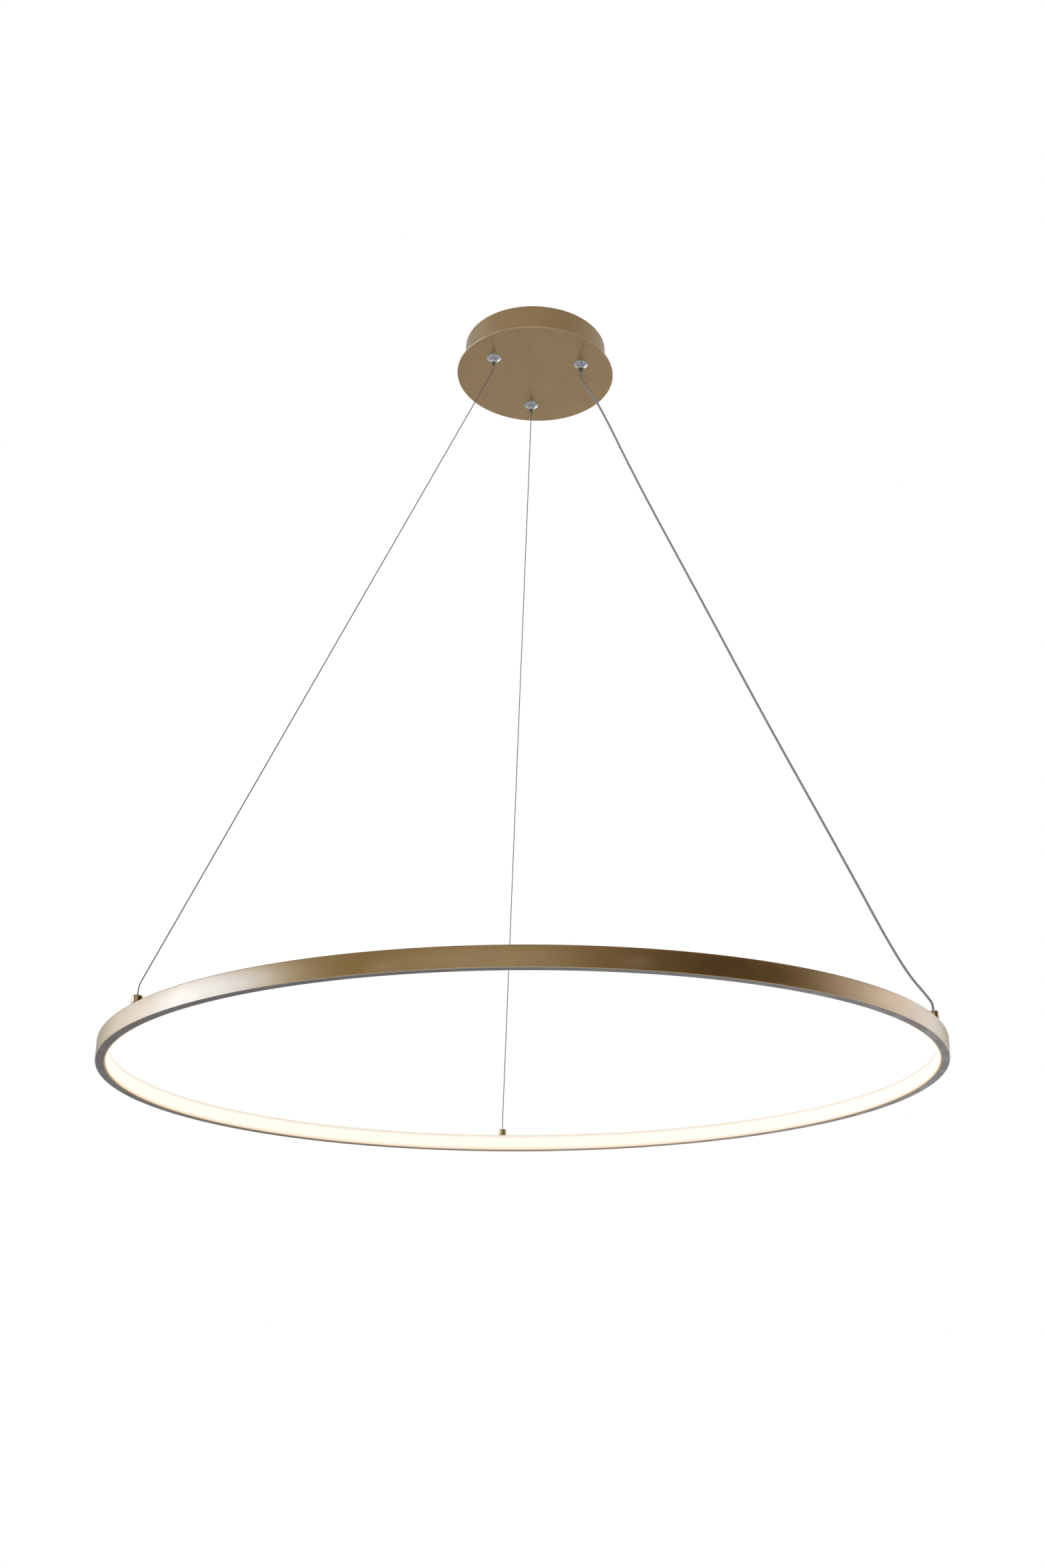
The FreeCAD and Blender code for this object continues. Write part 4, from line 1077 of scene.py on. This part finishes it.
@dataclass
class Gripper:
    """A cable gripper: its body in the canopy plate and the sprung tip that frees the wire when pushed."""
    side: Side
    held_diameter: float
    flange_radius: float = 9 * MM
    flange_rim: float = 0.7 * MM
    flange_drop: float = 2.2 * MM
    dome_radius: float = 4.3 * MM
    dome_drop: float = 4 * MM
    neck_drop: float = 7.2 * MM
    neck_wall: float = 0.35 * MM
    barrel_radius: float = 5 * MM
    barrel_rise: float = 13 * MM
    shoulder_drop: float = 1.2 * MM
    bore_clearance: float = 0.3 * MM
    tip_wall: float = 1.4 * MM
    tip_fit: float = 0.08 * MM
    cavity_width: float = 0.9 * MM
    spring_bottom: float = -34 * MM
    spring_top: float = -30 * MM
    spring_wire: float = 0.35 * MM
    spring_turns: float = 5.5
    spring_steps: int = 20
    spring_sides: int = 8
    dome_steps: int = 16
    segments: int = 64

    def __post_init__(self) -> None:
        """Reads the gripper's place from the frame."""
        low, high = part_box("gripper_body_" + self.side)
        self.centre = (low + high) / 2
        self.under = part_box("canopy_plate")[0].z
        self.bore = self.held_diameter / 2 + self.bore_clearance
        self.tip = self.bore + self.tip_wall
        self.guide = self.tip + self.tip_fit
        self.cavity = self.tip + self.cavity_width

    def body_corners(self) -> list[Corner]:
        """Makes the body's section, where a thick wire's guide leaves no neck below the dome.

        Returns:
            The corners from the barrel's top down the outside and back up the bore.
        """
        level, barrel_top = self.under, self.under + self.barrel_rise
        neck, neck_end = self.guide + self.neck_wall, level - self.neck_drop
        shoulder, middle = level - self.shoulder_drop, level - self.dome_drop
        below = []
        if middle - math.sqrt(self.dome_radius ** 2 - neck ** 2) > neck_end:
            below = [(neck, neck_end, self.neck_wall / 3), (self.guide, neck_end)]
        start = math.asin((self.dome_drop - self.flange_drop) / self.dome_radius)
        sweep = -math.acos((neck if below else self.guide) / self.dome_radius) - start
        turns = [start + sweep * step / self.dome_steps for step in range(self.dome_steps + 1)]
        dome = [(self.dome_radius * math.cos(turn), middle + self.dome_radius * math.sin(turn))
                for turn in turns]
        return [
            (self.barrel_radius, barrel_top), (self.barrel_radius, level), (self.flange_radius, level),
            (self.flange_radius, level - self.flange_rim, self.flange_rim / 2),
            (self.dome_radius, level - self.flange_drop), *dome, *below,
            (self.guide, shoulder), (self.cavity, shoulder), (self.cavity, barrel_top)]

    def build_body(self) -> Piece:
        """Makes the polished body.

        Returns:
            The body.
        """
        node = "gripper_body_" + self.side
        body = turned(node + "_polished", rounded_outline(self.body_corners()), self.centre, self.segments)
        return install(body, "canopy", "chrome_plate", [CHROME], node)

    def build_spring(self) -> Piece:
        """Makes the coil spring that presses the tip down.

        Returns:
            The spring.
        """
        node = "gripper_spring_" + self.side
        out = (self.tip - self.tip_fit + self.bore + self.bore_clearance) / 2
        radius = self.spring_wire / 2
        count = round(self.spring_turns * self.spring_steps)
        low, high = self.spring_bottom + radius, self.spring_top - radius
        points = []
        for step in range(count + 1):
            turn = math.tau * self.spring_turns * step / count
            x, y = self.centre.x + out * math.cos(turn), self.centre.y + out * math.sin(turn)
            points.append(Vector((x, y, low + (high - low) * step / count)))
        shape = bmesh.new()
        add_tube(shape, points, radius, self.spring_sides)
        spring = to_object(shape, node + "_coil", TUBE_ANGLE)
        install(spring, "canopy", "bright_steel", [BRIGHT_STEEL], node)
        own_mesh(spring)
        return spring

    def build(self) -> list[Piece]:
        """Makes the gripper.

        Returns:
            Its body and spring, and its dressed tip and balls.
        """
        # The tip takes the darker copy of the chrome, which is painted shade.
        dressed = {"gripper_tip_" + self.side: SHADED_TIP_CHROME, "gripper_balls_" + self.side: BRIGHT_STEEL}
        return [self.build_body(), self.build_spring(), *dress(dressed)]


@dataclass
class Canopy:
    """The canopy on the ceiling: plate, drum, the bracket that carries it and the grippers' fastenings."""
    dressed: dict[str, Surface] = field(default_factory=lambda: {
        "canopy_plate": CANOPY_GOLD, "canopy_drum": CANOPY_GOLD, "side_screws": CANOPY_GOLD,
        "ceiling_bracket": ZINC_STEEL, "canopy_nuts": ZINC_STEEL, "gripper_nuts": ZINC_STEEL,
        "gripper_washers": ZINC_STEEL, "gripper_plugs": ZINC_STEEL, "gripper_wedges": BRIGHT_STEEL})

    def build(self) -> list[Piece]:
        """Returns the canopy's nodes, dressed."""
        return dress(self.dressed)


@dataclass
class DriverAndTerminals:
    """The driver, the terminal block and the earth point inside the canopy."""
    dressed: dict[str, Surface] = field(default_factory=lambda: {
        "driver_case": WHITE_PLASTIC, "driver_lid": WHITE_PLASTIC, "driver_board": BOARD_GREEN,
        "driver_parts": DARK_PART, "driver_grommets": GREY_RUBBER, "driver_nuts": ZINC_STEEL,
        "terminal_block": IVORY_PLASTIC, "terminal_contacts": CONTACT_BRASS, "terminal_screws": ZINC_STEEL,
        "terminal_pad": FOAM, "earth_lug": ZINC_STEEL, "earth_nut": ZINC_STEEL})

    def build(self) -> list[Piece]:
        """Returns the nodes inside the canopy, dressed."""
        return dress(self.dressed)


@dataclass
class MainsLead:
    """A soft insulated lead between the terminal block and the driver or the earth point."""
    node: str
    route: list[Point]
    finish: Surface
    diameter: float = 1.7 * MM
    step: float = 1.0 * MM
    sides: int = 20

    def build(self) -> list[Piece]:
        """Makes the lead.

        Returns:
            The lead.
        """
        shape = bmesh.new()
        add_tube(shape, spaced(spline_points(self.route), self.step), self.diameter / 2, self.sides)
        lead = to_object(shape, self.node + "_insulation", TUBE_ANGLE)
        return [install(lead, "canopy", self.finish.name, [self.finish], self.node)]


LEFT_ROUTE = [
    (-0.05543, -0.032, -0.0506), (-0.05543, -0.032, -0.055), (-0.05656, -0.03265, -0.061),
    (-0.05871, -0.03389, -0.06661), (-0.38198, -0.22054, -0.909), (-0.38421, -0.22183, -0.9148),
    (-0.38538, -0.2225, -0.921), (-0.38538, -0.2225, -0.927)]
FAR_ROUTE = [
    (0.0, 0.064, -0.0506), (0.0, 0.064, -0.055), (0.0, 0.0653, -0.061), (0.0, 0.06779, -0.06661),
    (0.0, 0.44108, -0.909), (0.0, 0.44365, -0.9148), (0.0, 0.445, -0.921), (0.0, 0.445, -0.927)]
FEED_ROUTE = [
    (0.05543, -0.032, -0.0506), (0.05543, -0.032, -0.0566), (0.05712, -0.03298, -0.0656),
    (0.0765, -0.0442, -0.1065), (0.1205, -0.0696, -0.2365), (0.1845, -0.1065, -0.4075),
    (0.2475, -0.1429, -0.579), (0.313, -0.1807, -0.7487), (0.3605, -0.2081, -0.8773),
    (0.38425, -0.22185, -0.916), (0.38538, -0.2225, -0.922), (0.38538, -0.2225, -0.927)]
LEFT_TAIL = [
    (-0.05543, -0.032, -0.0506), (-0.05543, -0.032, -0.029), (-0.05543, -0.032, -0.015),
    (-0.06442, -0.02128, -0.0164)]
FAR_TAIL = [
    (0.0, 0.064, -0.0506), (0.0, 0.064, -0.029), (0.0, 0.064, -0.015), (-0.01379, 0.06643, -0.0164)]
FEED_TAIL = [
    (0.05543, -0.032, -0.0506), (0.05543, -0.032, -0.0316), (0.05543, -0.032, -0.02),
    (0.05803, -0.024, -0.012), (0.06303, -0.011, -0.0115), (0.06743, 0.003, -0.015),
    (0.06743, 0.0155, -0.021), (0.058, 0.02525, -0.026), (0.0445, 0.02525, -0.026)]
LIVE_LEAD = [
    (-0.009, -0.052, -0.032), (-0.009, -0.03, -0.032), (-0.0366, -0.016, -0.026),
    (-0.0366, 0.0015, -0.026)]
NEUTRAL_LEAD = [
    (0.0, -0.052, -0.032), (0.0, -0.03, -0.032), (-0.0344, -0.016, -0.026),
    (-0.0344, 0.0015, -0.026)]
EARTH_LEAD = [
    (0.009, -0.052, -0.032), (0.009, -0.04392, -0.032), (0.015, -0.03314, -0.0366),
    (0.015, -0.02505, -0.0366)]


def main() -> None:
    """Builds the studio and the lamp, and reports each piece."""
    logging.basicConfig(level=logging.INFO, format="%(name)s: %(message)s")
    parts = [
        Studio(), SuspensionWire(Side.LEFT, LEFT_ROUTE, LEFT_TAIL),
        SuspensionWire(Side.FAR, FAR_ROUTE, FAR_TAIL),
        FeedCable(Side.RIGHT, FEED_ROUTE, FEED_TAIL), LightRing()]
    for side, held, grub_azimuth in ((Side.FAR, WIRE_DIAMETER, 345.0), (Side.LEFT, WIRE_DIAMETER, 318.0),
                                     (Side.RIGHT, CABLE_DIAMETER, 150.0)):
        parts += [Ferrule(side, held, grub_azimuth), Gripper(side, held)]
    parts += [
        Canopy(), DriverAndTerminals(), MainsLead("live_lead", LIVE_LEAD, LEAD_BROWN),
        MainsLead("neutral_lead", NEUTRAL_LEAD, LEAD_BLUE), MainsLead("earth_lead", EARTH_LEAD, LEAD_STRIPED)]
    for part in parts:
        for piece in part.build():
            LOG.info("made %s", piece.name)


if __name__ == "__main__":
    main()
